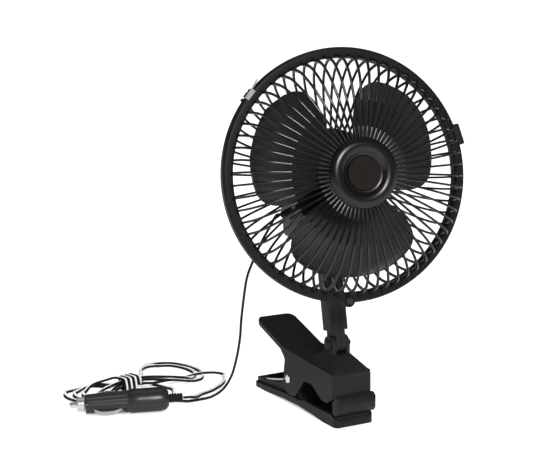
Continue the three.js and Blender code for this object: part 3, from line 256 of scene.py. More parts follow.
# Black plastics: gloss, the guards' ribs, the blades, the guards' rims, the hub's ring, the
# clip and housings, the plug's grip.
GLOSS = surface("gloss_black", (0.006, 0.006, 0.0065), (0.009, 0.009, 0.0095),
                (0.26, 0.34), 700, 0.02, spec=0.35)
RIB = surface("rib_black", (0.005, 0.005, 0.0055), (0.008, 0.008, 0.0085),
              (0.26, 0.32), 700, 0.02, spec=0.4)
BLADE = surface("blade_black", (0.010, 0.010, 0.0105), (0.014, 0.014, 0.0145),
                (0.38, 0.46), 900, 0.04, spec=0.2)
RIM = surface("rim_black", (0.007, 0.007, 0.0075), (0.010, 0.010, 0.0105),
              (0.34, 0.44), 700, 0.02, spec=0.1)
HUB = surface("hub_black", (0.003, 0.003, 0.0032), (0.005, 0.005, 0.0053),
              (0.26, 0.30), 700, 0.01, spec=0.34)
BODY = surface("body_black", (0.011, 0.011, 0.0115), (0.015, 0.015, 0.0155),
               (0.38, 0.52), 1500, 0.08, spec=0.16)
HANDLE = surface("plug_black", (0.014, 0.014, 0.0145), (0.020, 0.020, 0.0205),
                 (0.28, 0.40), 1500, 0.06, spec=0.45)
# Other plastics, rubber and the lead.
LABEL = surface("label_dark", (0.009, 0.006, 0.006), (0.014, 0.009, 0.0085),
                (0.55, 0.7), 1200, 0.05, spec=0.05)
GREY = surface("latch_grey", (0.20, 0.204, 0.21), (0.28, 0.284, 0.29), (0.4, 0.55), 1200, 0.08)
RUBBER = surface("rubber_black", (0.010, 0.010, 0.010), (0.015, 0.015, 0.015),
                 (0.55, 0.7), 2200, 0.12, spec=0.15)
NYLON = surface("nylon_white", (0.72, 0.70, 0.64), (0.80, 0.78, 0.72), (0.45, 0.6), 1500, 0.06)
BLACK_PVC = surface("pvc_black", (0.006, 0.006, 0.006), (0.010, 0.010, 0.010),
                    (0.38, 0.52), 1800, 0.06, spec=0.15)
WHITE_PVC = surface("pvc_white", (0.80, 0.80, 0.79), (0.88, 0.88, 0.87), (0.35, 0.5), 1800, 0.05)
# Metals, ferrite and glass. The bright plate of pin and spring is paler and less of a mirror
# than the plug's, as in the photo; its pale, largely diffuse white is painted reflection.
STEEL = surface("steel", (0.50, 0.51, 0.53), (0.62, 0.63, 0.65), (0.25, 0.42), 1500, 0.05, metal=0.8)
DARK_STEEL = surface("blackened_steel", (0.02, 0.02, 0.021), (0.035, 0.035, 0.036),
                     (0.35, 0.5), 1500, 0.05, metal=0.6)
# Painted reflection: the pale diffuse share of this base makes the plate read bright, though reflections
# show only a dim world.
PAINTED_REFLECTION_CHROME = surface("bright_plate", (0.80, 0.81, 0.82), (0.90, 0.91, 0.92),
                 (0.14, 0.24), 900, 0.02, metal=0.35)
PLATE = surface("plug_plate", (0.55, 0.56, 0.57), (0.75, 0.76, 0.77),
                (0.16, 0.28), 900, 0.02, metal=0.75)
BRASS = surface("brass", (0.60, 0.42, 0.16), (0.72, 0.52, 0.22), (0.25, 0.4), 1200, 0.05, metal=0.8)
COPPER = surface("copper_winding", (0.45, 0.17, 0.07), (0.60, 0.25, 0.11),
                 (0.35, 0.5), 1600, 0.3, metal=0.8)
FERRITE = surface("ferrite", (0.035, 0.034, 0.034), (0.06, 0.058, 0.058), (0.7, 0.85), 1800, 0.2)
GLASS = surface("fuse_glass", (0.62, 0.68, 0.68), (0.70, 0.76, 0.76), (0.05, 0.1), 600, 0.01, coat=0.5)
LOOKS = {  # by the record's material slot
    "gloss_black": GLOSS, "body_black": BODY, "label_dark": LABEL, "latch_grey": GREY,
    "rubber_black": RUBBER, "steel": STEEL, "bright_plate": PAINTED_REFLECTION_CHROME, "brass": BRASS,
    "copper_winding": COPPER, "ferrite": FERRITE, "nylon_white": NYLON, "lead_black": BLACK_PVC,
    "fuse_glass": GLASS}


# ---------------------------------------------------------------- shapes
# A shape is a pair of lists, points in millimetres and faces.
def welded(shape, gap=1e-4):
    """Joins points that coincide, such as those of a turned shape on its axis."""
    first, index, points, kept = {}, [], [], []
    for v in shape[0]:
        key = tuple(round(c / gap) for c in v)
        if key not in first:
            first[key] = len(points)
            points.append(v)
        index.append(first[key])
    for face in shape[1]:
        corners = list(dict.fromkeys(index[i] for i in face))
        if len(corners) > 2:
            kept.append(tuple(corners))
    return points, kept


def gather(parts):
    """Several shapes as one."""
    verts, faces = [], []
    for v, f in parts:
        base = len(verts)
        verts += v
        faces += [tuple(i + base for i in q) for q in f]
    return verts, faces


def tag_faces(parts, looks):
    """Material number of each face of the gathered parts."""
    return [look for look, part in zip(looks, parts) for face in part[1]]


def moved(shape, x, y, z):
    return [(a + x, b + y, c + z) for a, b, c in shape[0]], shape[1]


def turned_about_y(shape, degrees):
    a = radians(degrees)
    return [(x * cos(a) - z * sin(a), y, x * sin(a) + z * cos(a)) for x, y, z in shape[0]], shape[1]


def lathe(profile, sides):
    """Turned about the local Y axis from (radius, y) points, with its end rings left open."""
    verts, faces, n = [], [], len(profile)
    for k in range(sides):
        turn = 2 * pi * k / sides
        verts += [(r * cos(turn), y, r * sin(turn)) for r, y in profile]
        a, b = k * n, (k + 1) % sides * n
        faces += [(a + i, a + i + 1, b + i + 1, b + i) for i in range(n - 1)]
    return verts, faces


def lathe_y(profile, sides):
    """Turned about the local Y axis from (radius, y) points that start and end on it or meet."""
    return welded(lathe(profile, sides))


def lathe_x(profile, sides):
    """Turned about the local X axis from (radius, x) points."""
    verts, faces = lathe_y(profile, sides)
    return [(y, x, z) for x, y, z in verts], [tuple(reversed(f)) for f in faces]


def circle(radius, sides, at=(0, 0)):
    turns = [2 * pi * k / sides for k in range(sides)]
    return [(at[0] + radius * cos(a), at[1] + radius * sin(a)) for a in turns]


def box_outline(x, y):
    return [(-x, -y), (x, -y), (x, y), (-x, y)]


def rounded(points, radius, steps=4):
    """Closed 2-D outline with each corner rounded; a point may carry its own radius."""
    out, n = [], len(points)
    for i, p in enumerate(points):
        here = Vector(p[:2])
        a = Vector(points[i - 1][:2]) - here
        b = Vector(points[(i + 1) % n][:2]) - here
        r = min(p[2] if len(p) > 2 else radius, a.length * 0.45, b.length * 0.45)
        for k in range(steps + 1):
            t = k / steps
            q = here + a.normalized() * r * (1 - t) ** 2 + b.normalized() * r * t ** 2
            out.append((q.x, q.y))
    return out


def smooth_line(points, step):
    """Centripetal Catmull-Rom curve through points, sampled about every step millimetres."""
    p = [Vector(q) for q in points]
    p = [p[0] * 2 - p[1]] + p + [p[-1] * 2 - p[-2]]
    out = []
    for i in range(1, len(p) - 2):
        a, b, c, d = p[i - 1], p[i], p[i + 1], p[i + 2]
        t0 = 0.0
        t1 = t0 + (b - a).length ** 0.5
        t2 = t1 + (c - b).length ** 0.5
        t3 = t2 + (d - c).length ** 0.5
        parts = max(1, round((c - b).length / step))
        for k in range(parts):
            t = t1 + (t2 - t1) * k / parts
            a1 = a * ((t1 - t) / (t1 - t0)) + b * ((t - t0) / (t1 - t0))
            a2 = b * ((t2 - t) / (t2 - t1)) + c * ((t - t1) / (t2 - t1))
            a3 = c * ((t3 - t) / (t3 - t2)) + d * ((t - t2) / (t3 - t2))
            b1 = a1 * ((t2 - t) / (t2 - t0)) + a2 * ((t - t0) / (t2 - t0))
            b2 = a2 * ((t3 - t) / (t3 - t1)) + a3 * ((t - t1) / (t3 - t1))
            out.append(b1 * ((t2 - t) / (t2 - t1)) + b2 * ((t - t1) / (t2 - t1)))
    out.append(p[-2].copy())
    return out


def sweep(points, widths, section):
    """Closed tube of a 2-D section over a line of points. The section's first measure lies
    along widths, which is one direction or a list with one for each point."""
    verts, faces, n = [], [], len(section)
    for i, p in enumerate(points):
        t = (points[min(i + 1, len(points) - 1)] - points[max(i - 1, 0)]).normalized()
        w = widths[i] if isinstance(widths, list) else widths
        w = (w - t * w.dot(t)).normalized()
        h = t.cross(w)
        verts += [tuple(p + w * a + h * b) for a, b in section]
    for i in range(len(points) - 1):
        for k in range(n):
            a, b = i * n + k, i * n + (k + 1) % n
            faces.append((a, b, b + n, a + n))
    faces.append(tuple(reversed(range(n))))
    faces.append(tuple(range((len(points) - 1) * n, len(points) * n)))
    return verts, faces


def prism(outline, z0, z1, edge):
    """Extruded (x, y) outline along z with a small chamfer at both ends."""
    n = len(outline)
    cx = sum(p[0] for p in outline) / n
    cy = sum(p[1] for p in outline) / n
    small = []
    for x, y in outline:
        d = max(1e-6, ((x - cx) ** 2 + (y - cy) ** 2) ** 0.5)
        small.append((x - (x - cx) / d * edge, y - (y - cy) / d * edge))
    rings = [(small, z0), (outline, z0 + edge), (outline, z1 - edge), (small, z1)]
    verts = [(x, y, z) for ring, z in rings for x, y in ring]
    faces = [tuple(reversed(range(n))), tuple(range(3 * n, 4 * n))]
    for r in range(3):
        for k in range(n):
            a, b = r * n + k, r * n + (k + 1) % n
            faces.append((a, b, b + n, a + n))
    return verts, faces


# ---------------------------------------------------------------- pieces
def make(name, shape, place, looks, nodes, body=None, tags=None, crease=40):
    """Piece from a shape in a local frame. Without a body, the caller attaches it or bakes its place into
    its points.
    """
    data = bpy.data.meshes.new(name)
    data.from_pydata([tuple((place @ Vector(v)) * MM) for v in shape[0]], [], shape[1])
    for look in looks:
        data.materials.append(look)
    if tags is not None:
        data.polygons.foreach_set("material_index", tags)
    bm = bmesh.new()
    bm.from_mesh(data)
    bmesh.ops.recalc_face_normals(bm, faces=bm.faces)
    bm.to_mesh(data)
    bm.free()
    data.polygons.foreach_set("use_smooth", [True] * len(data.polygons))
    data.set_sharp_from_angle(angle=radians(crease))
    piece = bpy.data.objects.new(name, data)
    bpy.context.scene.collection.objects.link(piece)
    if body:
        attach(piece, body)
    if nodes:
        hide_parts(*nodes)
    return piece


def dress(node, look, bevel, steps, angle=25, weld=0.002):
    """CAD solid with softened edges in place of the sharp one. Edges over the angle are
    bevelled, and points closer than weld are joined first."""
    source = NODES[node]
    data = source.data.copy()
    piece = bpy.data.objects.new(node + "_skin", data)
    bpy.context.scene.collection.objects.link(piece)
    bm = bmesh.new()
    bm.from_mesh(data)
    bmesh.ops.remove_doubles(bm, verts=bm.verts, dist=weld * MM)
    bmesh.ops.dissolve_degenerate(bm, edges=bm.edges, dist=2e-6)
    bmesh.ops.dissolve_limit(bm, angle_limit=radians(1), verts=bm.verts, edges=bm.edges)
    bm.to_mesh(data)
    bm.free()
    data.materials.clear()
    data.materials.append(look)
    soften = piece.modifiers.new("soften", "BEVEL")
    soften.width = bevel * MM
    soften.segments = steps
    soften.limit_method = "ANGLE"
    soften.angle_limit = radians(angle)
    soften.use_clamp_overlap = True
    even = piece.modifiers.new("even", "WEIGHTED_NORMAL")
    even.keep_sharp = True
    data.polygons.foreach_set("use_smooth", [True] * len(data.polygons))
    deps = bpy.context.evaluated_depsgraph_get()
    final = bpy.data.meshes.new_from_object(piece.evaluated_get(deps), depsgraph=deps)
    piece.modifiers.clear()
    piece.data = final
    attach(piece, source["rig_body"])
    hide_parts(node)


# ---------------------------------------------------------------- the lead
# Its route is in the clip's frame, as in the CAD.
FLOOR = LEAD_THICK / 2 + 0.2  # the lead's middle, where it lies flat
LINE_STEP = 1.5
DROP_SPLITS = (118, 76)  # heights where the drop passes to the post and to the upper jaw
CONDUCTOR_R = 0.56 * LEAD_THICK  # a little over half, so that the two run into each other
SIGHT = V(0.48, 0.877, 0)  # level, from the camera to the lead
TURN_OVER = 1.7  # the higher, the sooner the lead lies flat where it runs across the view
EDGE_LIFT = (LEAD_WIDTH - LEAD_THICK) / 2  # a lead that stands on edge has its middle higher
EDGE_FREE = 2.2  # from this height up it needs less lift
LOOPS = 3
WRAPS = 4
WRAP_PITCH = 5.2
WRAP_STEPS = 16
WRAP_ROOM = 0.9  # between the wraps and what they hold
WRAP_CORNER = 1.3  # how far out the wraps' rounded corners reach
WAIST = (-124, 165)
WAIST_HALF = 14  # the runs lie side by side this far from the middle
HANK_TURN = radians(12)
RIGHT = (88, 38)  # reach and half width of the lobes
LEFT = (61, 22)
LEFT_STEPS = 10
RIGHT_STEPS = 11
BEND = 0.2  # both lobes lean away from the camera
NEST = 7  # each loop is this much smaller than the one before
LOBE_OPENING = 2.1
LOBE_ROUNDNESS = 0.8
COLUMN = 2.5  # run beside the middle of the bundle
LEVEL = 2.6  # run above run in the bundle
FIRST_LEVEL = 3.8


def on_hank(u, v, z):
    c, s = cos(HANK_TURN), sin(HANK_TURN)
    return V(WAIST[0] + u * c - v * s, WAIST[1] + u * s + v * c, z)


def in_clip(place, x, y, z):
    """Point of a local frame, in the clip's frame."""
    return place @ V(x, y, z) - SHIFT


ALONG = on_hank(1, 0, 0) - on_hank(0, 0, 0)
DROP = [in_clip(ON_HEAD, -35.7, *GLAND_AT), in_clip(ON_HEAD, -38.6, *GLAND_AT),
        V(-40.4, 45, 162.6), V(-46.2, 50, 148.6), V(-51, 56.4, 131.6), V(-53.4, 62, 118),
        V(-54, 66, 104.3), V(-53.1, 75, 75.9), V(-51.9, 80, 59.1), V(-52.6, 86, 38.5),
        V(-55.4, 91.6, 20.5), V(-61.6, 96, 8.4), V(-71, 99, 2.4), V(-80, 100, FLOOR),
        V(-87.3, 100, FLOOR)]
LEAD_IN = [V(-87.3, 100, FLOOR), V(-94, 101, FLOOR), V(-99.4, 105, FLOOR), V(-102, 113, FLOOR),
           on_hank(25.5, -33, FLOOR), on_hank(25.5, -24, FLOOR), on_hank(24.5, -15, FLOOR),
           on_hank(22.6, -9.4, FLOOR), on_hank(17, -4.2, 2.7), on_hank(10, -COLUMN, FIRST_LEVEL)]
TO_WRAPS = [on_hank(-17, 8.6, 10.6), on_hank(-12.2, 5.2, 12)]
FROM_WRAPS = [on_hank(9.8, -7.6, 3.9), on_hank(13.6, -9.8, 3.9), on_hank(19, -11, 3.9),
              on_hank(25, -11.4, 3.9), on_hank(32, -11.4, 3.6)]
FROM_WRAPS_WIDTHS = [ALONG + V(0, 0, -1), V(0.3, 0.3, -1), V(-0.4, 1, -0.4), V(-0.2, 1, 0),
                     V(-0.2, 1, 0)]
TAIL = [on_hank(42, -11.6, 2.6), on_hank(53, -13, 2.8), on_hank(64, -15.5, 4.1),
        on_hank(74, -18, 4.3), on_hank(84, -22, 3.4), on_hank(90, -28, 1.9),
        V(-33.4, 150, 1.3), V(-40, 136.5, 1.2), V(-51, 124.4, 1.6), V(-66, 112.2, 3.4),
        V(-80, 102, 5.4), V(-92, 89, 8.4),
        in_clip(ON_PLUG, -5, 0, 0), in_clip(ON_PLUG, -0.5, 0, 0)]


def ease(t):
    c = min(1, max(0, t))
    return c * c * (3 - 2 * c)


def hank_point(turn, level):
    """Point of the loops: turn counts them from the near run at the waist, clockwise."""
    a = -pi / 2 - 2 * pi * turn
    lobe, half = RIGHT if cos(a) > 0 else LEFT
    reach = lobe - NEST * turn
    u = reach * cos(a)
    past = max(0, abs(u) - WAIST_HALF - 0.5) / (reach - WAIST_HALF)
    opening = LOBE_OPENING * (half - 0.9 * NEST * turn)
    v = sin(a) * (COLUMN + opening * past ** LOBE_ROUNDNESS)
    lean = BEND * max(0, abs(u) - WAIST_HALF)
    lift = 1 - ease((abs(u) - WAIST_HALF) / (0.35 * (lobe - WAIST_HALF)) - 0.86)
    return on_hank(u, v + lean, FLOOR + (FIRST_LEVEL + LEVEL * level - FLOOR) * lift)


def hank_loops():
    points = []
    for loop in range(LOOPS):
        for lobe, begins, steps in ((LEFT, 0, LEFT_STEPS), (RIGHT, 0.5, RIGHT_STEPS)):
            waist = asin(WAIST_HALF / (lobe[0] - NEST * (loop + begins + 0.25))) / (2 * pi)
            for k in range(steps + 1):
                turn = loop + begins + waist + (0.5 - 2 * waist) * k / steps
                if turn < LOOPS - 0.6:
                    points.append(hank_point(turn, floor(turn + 0.25)))
    return points


def hank_wraps():
    half = COLUMN + LEAD_WIDTH / 2 + WRAP_ROOM + LEAD_THICK / 2
    top = FIRST_LEVEL + LEVEL * (LOOPS - 1) + LEAD_THICK + WRAP_ROOM
    points = []
    for k in range(4, WRAP_STEPS * WRAPS - 6):
        a = 2 * pi * k / WRAP_STEPS
        r = min(1 / max(abs(cos(a)), abs(sin(a))), WRAP_CORNER)
        points.append(on_hank(WRAP_PITCH * (k / WRAP_STEPS - WRAPS / 2), half * r * cos(a),
                              (FLOOR + top) / 2 + (top - FLOOR) / 2 * r * sin(a)))
    return points


def across(points):
    """Level directions square to the line of points."""
    out = []
    for i in range(len(points)):
        a, b = points[max(i - 1, 0)], points[min(i + 1, len(points) - 1)]
        out.append(V(-(b.y - a.y), b.x - a.x, 0.001).normalized())
    return out


def facing(widths):
    """Turns the flat lead so that its black side lies in front, on edge where it runs away."""
    out = []
    for w in widths:
        s = max(-1, min(1, TURN_OVER * w.dot(SIGHT)))
        out.append(V(w.x * s, w.y * s, (1 - s * s) ** 0.5))
    return out


def lead_route():
    """Points and width directions from the end of the drop, through the hank, to the plug."""
    points = LEAD_IN + hank_loops() + TO_WRAPS
    widths = facing(across(points))
    wraps = hank_wraps()
    points += wraps + FROM_WRAPS
    widths += [ALONG] * len(wraps) + FROM_WRAPS_WIDTHS
    start = FROM_WRAPS[-1]
    straight = start + (start - FROM_WRAPS[-2]).normalized() * 3
    points += [straight] + TAIL
    widths += facing(across([start, straight] + TAIL)[1:])
    return points, widths


def finer(points, widths):
    """Points and their width directions on the smooth curve through them."""
    line, dirs = [], []
    p = [points[0] * 2 - points[1]] + points + [points[-1] * 2 - points[-2]]
    for i in range(len(points) - 1):
        part = smooth_line(p[i:i + 4], LINE_STEP)
        first = max(1, round((p[i + 1] - p[i]).length / LINE_STEP))
        count = max(1, round((p[i + 2] - p[i + 1]).length / LINE_STEP))
        line += part[first:first + count]
        for k in range(count):
            dirs.append(widths[i].normalized().lerp(widths[i + 1].normalized(), k / count))
    line.append(points[-1])
    dirs.append(widths[-1])
    return line, dirs


def twin(name, line, dirs, nodes):
    """Twin lead: a black and a white conductor side by side, run into each other."""
    parts = [sweep(line, dirs, circle(CONDUCTOR_R, 12, (side * LEAD_THICK / 2, 0)))
             for side in (-1, 1)]
    return make(name, gather(parts), IN_WORLD, [BLACK_PVC, WHITE_PVC], nodes,
                tags=tag_faces(parts, (0, 1)), crease=60)


def make_drop():
    """The stretch that hangs from the head to the floor, parted where it passes a joint."""
    line, dirs = finer(DROP, [SIGHT] * len(DROP))
    first, second = [min(range(len(line)), key=lambda i: abs(line[i].z - height))
                     for height in DROP_SPLITS]
    spans = [("cord_drop_head", 0, first + 1, "head", "post", ["cord_drop_upper"], 0.94),
             ("cord_drop_post", first, second + 1, "post", "upper_jaw", ["cord_drop_lower"], 0.94),
             ("cord_drop_jaw", second, len(line), "upper_jaw", "base", [], 0.8)]
    for name, i, j, above, below, nodes, end in spans:
        part = line[i:j]
        piece = twin(name, part, dirs[i:j], nodes)
        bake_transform(piece)


def make_lead():
    line, dirs = finer(*lead_route())
    line = [p + V(0, 0, max(0, EDGE_LIFT * abs(w.normalized().z) - max(0, p.z - EDGE_FREE)))
            for p, w in zip(line, dirs)]
    piece = twin("cord_lead", line, dirs, ["cord_hank", "cord_tail"])
    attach(piece, "base")
    return piece, line


# ---------------------------------------------------------------- guards
# Outlines are (radius, distance ahead of the ring plane), with a corner radius where it differs.
GUARD_SIDES = 180
RIB_STEP = 1.6
JOINT_GAP = 0.15  # from the ring plane to either rim
LUG_R = RING_R - 1.5  # from the fan axis to the screw
LUG_SIZE = 5  # radius
LUG_AT = (LUG_R * cos(radians(SCREW_ANGLE)), LUG_R * sin(radians(SCREW_ANGLE)))
FRONT_PATH = [(FRONT_PLATE_R - 1.75, 42), (37, 42), (47, 40.8), (58, 38.9), (67, 37.1), (76, 34.9),
              (84.5, 30.4), (RING_BORE - 3.8, 24), (RING_BORE + 2, 3)]
FRONT_RIDGE = (37.5, 58)
REAR_PATH = [(REAR_PLATE_R - 1.3, -35.6), (RING_BORE - 18.4, -31), (RING_BORE - 3.4, -20.4),
             (RING_BORE + 2, -3)]
REAR_PLATE = [(9, -37.4), (REAR_PLATE_R, -37.4, 1.2), (REAR_PLATE_R, -33.8, 0.8), (9, -33.8)]
HUB_LINE = [  # plate, crown of the raised ring, seat of the label disc
    (0, 40), (28, 40), (FRONT_PLATE_R, 40.8), (FRONT_PLATE_R, 42.6), (28.4, 43.8), (27.8, 44.8),
    (27, 45.7), (26, 46.4), (25, 46.9), (24, 47.2), (23, 47.4), (22, 47.45), (21, 47.4),
    (20, 47.2), (19, 46.9), (18, 46.4), (17.1, 45.7), (16.3, 45), (15.4, 44.5), (14.1, 44.4),
    (14.1, 42), (0, 42)]
BADGE_LINE = [(0, 43.9), (BADGE_R - 0.2, 43.9), (BADGE_R, 44.2), (BADGE_R, 45.5),
              (BADGE_R - 0.5, 46), (0, 46.1)]
SQUARE = rounded(box_outline(1.3, 0.85), 0.5, 2)
RIDGED = [(-1.3, 0), (-0.4, -0.8), (1.3, -0.8), (1.3, 0.8), (-0.4, 0.8)]
FORWARD = V(0, 1, 0)


def ahead(f):
    return -RING_Y - f


def guard_ribs(path, ridge=None):
    """Ribs all round; between the two radii of ridge their front comes to an edge."""
    line = smooth_line([V(r, ahead(f), 0) for r, f in path], RIB_STEP)
    stretches = [(line, SQUARE)]
    if ridge:
        a, b = [min(range(len(line)), key=lambda i: abs(line[i].x - r)) for r in ridge]
        stretches = [(line[:a + 1], SQUARE), (line[a:b + 1], RIDGED), (line[b:], SQUARE)]
    rib = gather([sweep(part, FORWARD, section) for part, section in stretches])
    return gather([turned_about_y(rib, 360 * k / RIBS) for k in range(RIBS)])


def ring(outline, sides=GUARD_SIDES):
    """Closed ring with its edges rounded."""
    line = rounded([(p[0], ahead(p[1]), *p[2:]) for p in outline], 0.3)
    return lathe(line + [line[0]], sides)


def rim(side):
    """Rim of the front guard for side 1, of the rear guard for side -1."""
    return ring([(RING_BORE, side * JOINT_GAP), (RING_R, side * JOINT_GAP), (RING_R, side * 3.4, 1.5),
                 (RING_R - 1.4, side * RIM_DEPTH, 1.2), (RING_BORE, side * RIM_DEPTH, 1.4)])


def lug(f0, f1):
    """Half of the lug that takes the guard screw, with a chamfer of 0.3."""
    r = LUG_SIZE
    line = [(0, f0), (r - 0.3, f0), (r, f0 + 0.3), (r, f1 - 0.3), (r - 0.3, f1), (0, f1)]
    return moved(lathe_y([(r, ahead(f)) for r, f in line], 24), LUG_AT[0], 0, LUG_AT[1])


def make_front_guard():
    parts = [guard_ribs(FRONT_PATH, FRONT_RIDGE), rim(1),
             lathe_y([(r, ahead(f)) for r, f in HUB_LINE], 96), lug(2 * JOINT_GAP, 5.3)]
    make("guard_front", gather(parts), ON_HEAD, [RIB, RIM, HUB], ["front_guard"],
         "head", tag_faces(parts, (0, 1, 2, 1)))


def hinge_lug(z0, z1):
    """One of the two lugs that the latch swings on."""
    outline = rounded([(99.4, ahead(-4.4)), (103, ahead(-4.4)), (104.6, ahead(-5.4), 0.8),
                       (104.6, ahead(-8), 1), (101.5, ahead(-8), 1)], 0.3, 3)
    return turned_about_y(prism(outline, z0, z1, 0.25), LATCH_ANGLE)


def make_rear_guard():
    parts = [guard_ribs(REAR_PATH), rim(-1), ring(REAR_PLATE, 96), lug(-6, -2 * JOINT_GAP),
             hinge_lug(-6.2, -3.9), hinge_lug(3.9, 6.2)]
    make("guard_rear", gather(parts), ON_HEAD, [RIB, RIM], ["rear_guard"],
         "head", tag_faces(parts, (0, 1, 1, 1, 1, 1)))


def make_latch():
    """Dark strap over the rims with a grey block on it, from which a thin lever stands off."""
    strap = rounded([(104.3, ahead(5)), (105, ahead(5)), (105, ahead(-5.6), 0.6),
                     (104.2, ahead(-7.6), 0.6), (102.8, ahead(-7.6), 0.6), (104.3, ahead(-5.2))], 0.25, 3)
    block = rounded([(101.2, ahead(5.3)), (101.2, ahead(6.3)), (104.1, ahead(6.4), 0.9),
                     (105, ahead(5.2), 0.6), (105, ahead(3.6)), (104.3, ahead(3.6)),
                     (104.3, ahead(5.3))], 0.2, 3)
    lever = [V(x, ahead(5.4), z) for x, z in ((104.7, 3), (104.8, -2), (104.9, -6), (105.3, -9.4),
                                              (105.9, -13))]
    parts = [prism(strap, -2.2, 2.2, 0.2), prism(block, -4.8, 4.8, 0.3),
             sweep(smooth_line(lever, 1), FORWARD, rounded(box_outline(1.3, 0.4), 0.2, 2))]
    make("latch_lever", turned_about_y(gather(parts), LATCH_ANGLE), ON_HEAD, [RIM, GREY],
         ["guard_latch"], "latch", tag_faces(parts, (0, 1, 1)))


def make_label_disc():
    make("label_disc", lathe_y([(r, ahead(f)) for r, f in BADGE_LINE], 72), ON_HEAD, [LABEL],
         ["hub_badge"], "head")


# ---------------------------------------------------------------- impeller
BLADE_ROOT = HUB_R - 1.5
BLADE_WALL = 1.5
BLADE_CAMBER = 2.4
BLADE_AREA = 54 * 49.5  # radius times width where the blade has its full pitch
BLADE_ROWS = 26
BLADE_COLS = 28
HALF_WIDTHS = [(12.5, 33), (32, 46), (54, 49), (66, 46), (74, 42), (79.5, 35.5), (BLADE_TIP, 16)]
WIDTH_LINE = smooth_line([V(radius, degrees, 0) for radius, degrees in HALF_WIDTHS], 0.5)
BLADE_HUB = [(1.9, -72.6), (2.2, -73), (9.6, -73), (11.6, -72.4), (13.4, -70.8), (HUB_R - 0.2, -69),
             (HUB_R, -67), (HUB_R, -50.4), (HUB_R - 0.3, -50), (HUB_R - 2, -50), (HUB_R - 2, -66),
             (5.4, -66), (5.4, -49), (1.9, -49), (1.9, -72.6)]


def blade_width(r):
    """Half the blade's width at a radius, in degrees."""
    nearest = min(WIDTH_LINE, key=lambda p: abs(p.x - r))
    straight = np.interp(r, [p[0] for p in HALF_WIDTHS], [p[1] for p in HALF_WIDTHS])
    return min(nearest.y, straight + 2.5)


def blade(angle):
    """Pitched and cambered sheet with rounded corners, thin at its long edges."""
    top, low = [], []
    for i in range(BLADE_ROWS + 1):
        out = 1 - (1 - i / BLADE_ROWS) ** 1.35
        r = BLADE_ROOT + (BLADE_TIP - BLADE_ROOT) * out
        width = blade_width(r)
        pitch = BLADE_PITCH * (0.45 + 0.55 * min(1, r * width / BLADE_AREA))
        for j in range(BLADE_COLS + 1):
            s = 2 * j / BLADE_COLS - 1
            a = radians(angle + s * width)
            y = -RING_Y - pitch * s - BLADE_CAMBER * (1 - s * s) * min(1, r / 60)
            thin = BLADE_WALL / 2 * min(1, 0.35 + 4 * (1 - abs(s)))
            top.append((r * cos(a), y + thin, r * sin(a)))
            low.append((r * cos(a), y - thin, r * sin(a)))
    n = BLADE_COLS + 1
    m = (BLADE_ROWS + 1) * n
    faces = []
    for i in range(BLADE_ROWS):
        for j in range(BLADE_COLS):
            a = i * n + j
            faces.append((a, a + 1, a + n + 1, a + n))
            faces.append((m + a, m + a + n, m + a + n + 1, m + a + 1))
        a, b = i * n, i * n + BLADE_COLS
        faces.append((a, a + n, m + a + n, m + a))
        faces.append((b + n, b, m + b, m + b + n))
    for j in range(BLADE_COLS):
        a = BLADE_ROWS * n + j
        faces.append((j + 1, j, m + j, m + j + 1))
        faces.append((a, a + 1, m + a + 1, m + a))
    return top + low, faces


def make_impeller():
    blades = [blade(BLADE_ANGLE + 360 / BLADES * k) for k in range(BLADES)]
    make("impeller_blades", gather([lathe_y(BLADE_HUB, 72)] + blades), ON_HEAD, [BLADE],
         ["fan_blade"], "impeller", crease=50)


# ---------------------------------------------------------------- softened CAD solids
def soften_solids():
    """The jaws and pads are rounded only at their clear corners, over 50 degrees."""
    dress("clip_upper_jaw", BODY, 1.1, 4, 50, weld=0.5)
    dress("clip_lower_jaw", BODY, 1, 4, 50, weld=0.5)
    dress("upper_grip_pad", BODY, 1.7, 5, 50, weld=0.4)
    dress("lower_grip_pad", BODY, 0.8, 3, 50, weld=0.3)
    dress("post_left_half", BODY, 0.45, 2)
    dress("post_right_half", BODY, 0.45, 2)
    dress("motor_housing", BODY, 0.7, 2)
    dress("motor_cover", BODY, 0.7, 2)
    dress("guard_screw", DARK_STEEL, 0.15, 1)
    dress("guard_clip", GLOSS, 0.4, 2)
    dress("power_switch", GLOSS, 0.3, 2)
    dress("tilt_nut", BODY, 0.25, 2)
    dress("plug_side_contact_left", STEEL, 0.1, 1)
    dress("plug_side_contact_right", STEEL, 0.1, 1)


# ---------------------------------------------------------------- small pieces of head and clip
BOLT_LINE = [(0, -11), (1.6, -10.95), (3, -10.7), (4.1, -10.2), (4.7, -9.5), (4.8, -8.9), (2, -8.8),
             (2, 12.4), (1.6, 12.9), (0, 12.9)]
PIN_HEAD = [(0, 20.6), (1.2, 20.6), (1.5, 20.1), (2.1, 20.1), (2.4, 20.5), (3, 20.3), (3.3, 19.8),
            (3.3, 19.3), (2.2, 19.3)]
PIN_HEAD_INSIDE = 2.3  # just outside the shaft
PIN_LOBES = 5
PIN_LOBE = 0.14  # share of the radius
GLAND_LINE = [(0, -35), (2.2, -35), (2.6, -34.6), (2.9, -33), (2.5, -32.6), (2.9, -32.2), (3.3, -31),
              (2.9, -30.6), (3.4, -30.2), (4, -28.6), (4.9, -27.2), (5, -26.8), (2.3, -26.8),
              (2.3, -24), (3.6, -23.8), (3.6, -22.4), (0, -22.4)]
KNOB_LINE = [(0, 20.6), (4.4, 20.6), (4.4, 22.2), (3, 22.4), (3, 31), (4.9, 31.3), (5.2, 31.8),
             (5.2, 34.8), (4.9, 35.5), (4.2, 36), (0, 36)]
SPRING_WIRE = 0.95  # radius
SPRING_START = -13
SPRING_STEPS = 24  # points on a curl


def make_tilt_bolt():
    make("tilt_bolt_head", moved(lathe_x(BOLT_LINE, 64), 0, 0, HINGE_Z), IN_WORLD, [BODY],
         ["tilt_bolt"], "upper_jaw")


